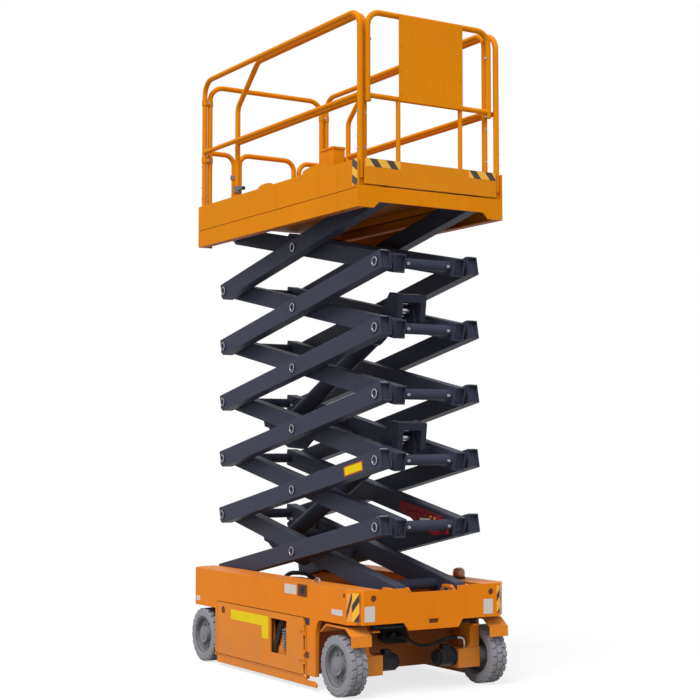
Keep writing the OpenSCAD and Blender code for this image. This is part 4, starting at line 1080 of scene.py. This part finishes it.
settle(bm, "control_stop_button", stop_red, "extension")
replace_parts(case, "control_box")

# Stage: a pale studio floor that fades to white around the machine's shadow, and a white backdrop.
# Two soft lamps light it, and the camera stands where the photograph's did.


def backdrop_rays(tree):
    """The Light Path outputs, and the rays that see the white backdrop itself."""
    path = tree.nodes.new("ShaderNodeLightPath").outputs
    seen = maths(tree, "ADD", path["Is Camera Ray"], path["Is Glossy Ray"], True)
    return path, maths(tree, "ADD", seen, path["Is Transmission Ray"], True)


def shaders_mixed(tree, amount, first, second, output):
    node = tree.nodes.new("ShaderNodeMixShader")
    for value, socket in zip((amount, first.outputs[0], second.outputs[0]), node.inputs):
        wire(tree, value, socket)
    wire(tree, node.outputs[0], tree.nodes[output].inputs["Surface"])


WHITE = (1, 1, 1, 1)
FLOOR_R, FADE_FROM, FADE_TO, FADE = 40, 1.2, 3.6, 0.76
bpy.context.scene.view_settings.view_transform = "Standard"
bm = bmesh.new()
bmesh.ops.create_circle(bm, cap_ends=True, radius=FLOOR_R, segments=96)
floor_mesh = bpy.data.meshes.new("studio_floor")
bm.to_mesh(floor_mesh)
bm.free()
floor = show("studio_floor", floor_mesh)
paper, tree, shader = bare("studio_paper")
shader.inputs["Roughness"].default_value = 0.9
shader.inputs["Specular IOR Level"].default_value = 0.1
path, seen = backdrop_rays(tree)
wire(tree, mixed(tree, path["Is Diffuse Ray"], (0.92, 0.92, 0.92, 1), (0.36, 0.35, 0.34, 1)),
     shader.inputs["Base Color"])
reach = tree.nodes.new("ShaderNodeVectorMath")
reach.operation = "LENGTH"
wire(tree, spot(tree), reach.inputs[0])
fade = product(tree, between(tree, reach.outputs["Value"], FADE_FROM, FADE_TO, FADE, 1.0), seen)
glow = tree.nodes.new("ShaderNodeEmission")
glow.inputs["Color"].default_value = WHITE
shaders_mixed(tree, fade, shader, glow, "Material Output")
floor_mesh.materials.append(paper)

world = bpy.data.worlds.new("studio")
bpy.context.scene.world = world
world.use_nodes = True
tree = world.node_tree
path, seen = backdrop_rays(tree)
sky = tree.nodes["Background"]
sky.inputs["Color"].default_value = (0.97, 0.98, 1.0, 1)
sky.inputs["Strength"].default_value = 0.64
white = tree.nodes.new("ShaderNodeBackground")
white.inputs["Color"].default_value = WHITE
shaders_mixed(tree, seen, sky, white, "World Output")

for name, towards, softness, level in (("lamp_key", (0.33, -0.53, 0.8), 35, 2.75),
                                       ("lamp_fill", (0.9, 0.25, 0.3), 60, 0.3)):
    lamp = bpy.data.lights.new(name, "SUN")
    lamp.angle = radians(softness)
    lamp.energy = level
    show(name, lamp).rotation_euler = (-Vector(towards)).to_track_quat("-Z", "Y").to_euler()

YAW, PITCH = radians(58.378), radians(3.756)
FOCAL, PICTURE, SENSOR, EYE = 1491.95, 700, 36.0, (8.9674, -5.4408, 1.5453)
ahead = Vector((-sin(YAW)*cos(PITCH), cos(YAW)*cos(PITCH), sin(PITCH)))
right = Vector((cos(YAW), sin(YAW), 0))
above = right.cross(ahead)
camera = bpy.data.cameras.new("photo_camera")
camera.sensor_width = SENSOR
camera.sensor_fit = "HORIZONTAL"
camera.lens = FOCAL*SENSOR/PICTURE
eye = show("photo_camera", camera)
eye.matrix_world = Matrix.Translation(EYE) @ Matrix((right, above, -ahead)).transposed().to_4x4()
bpy.context.scene.camera = eye
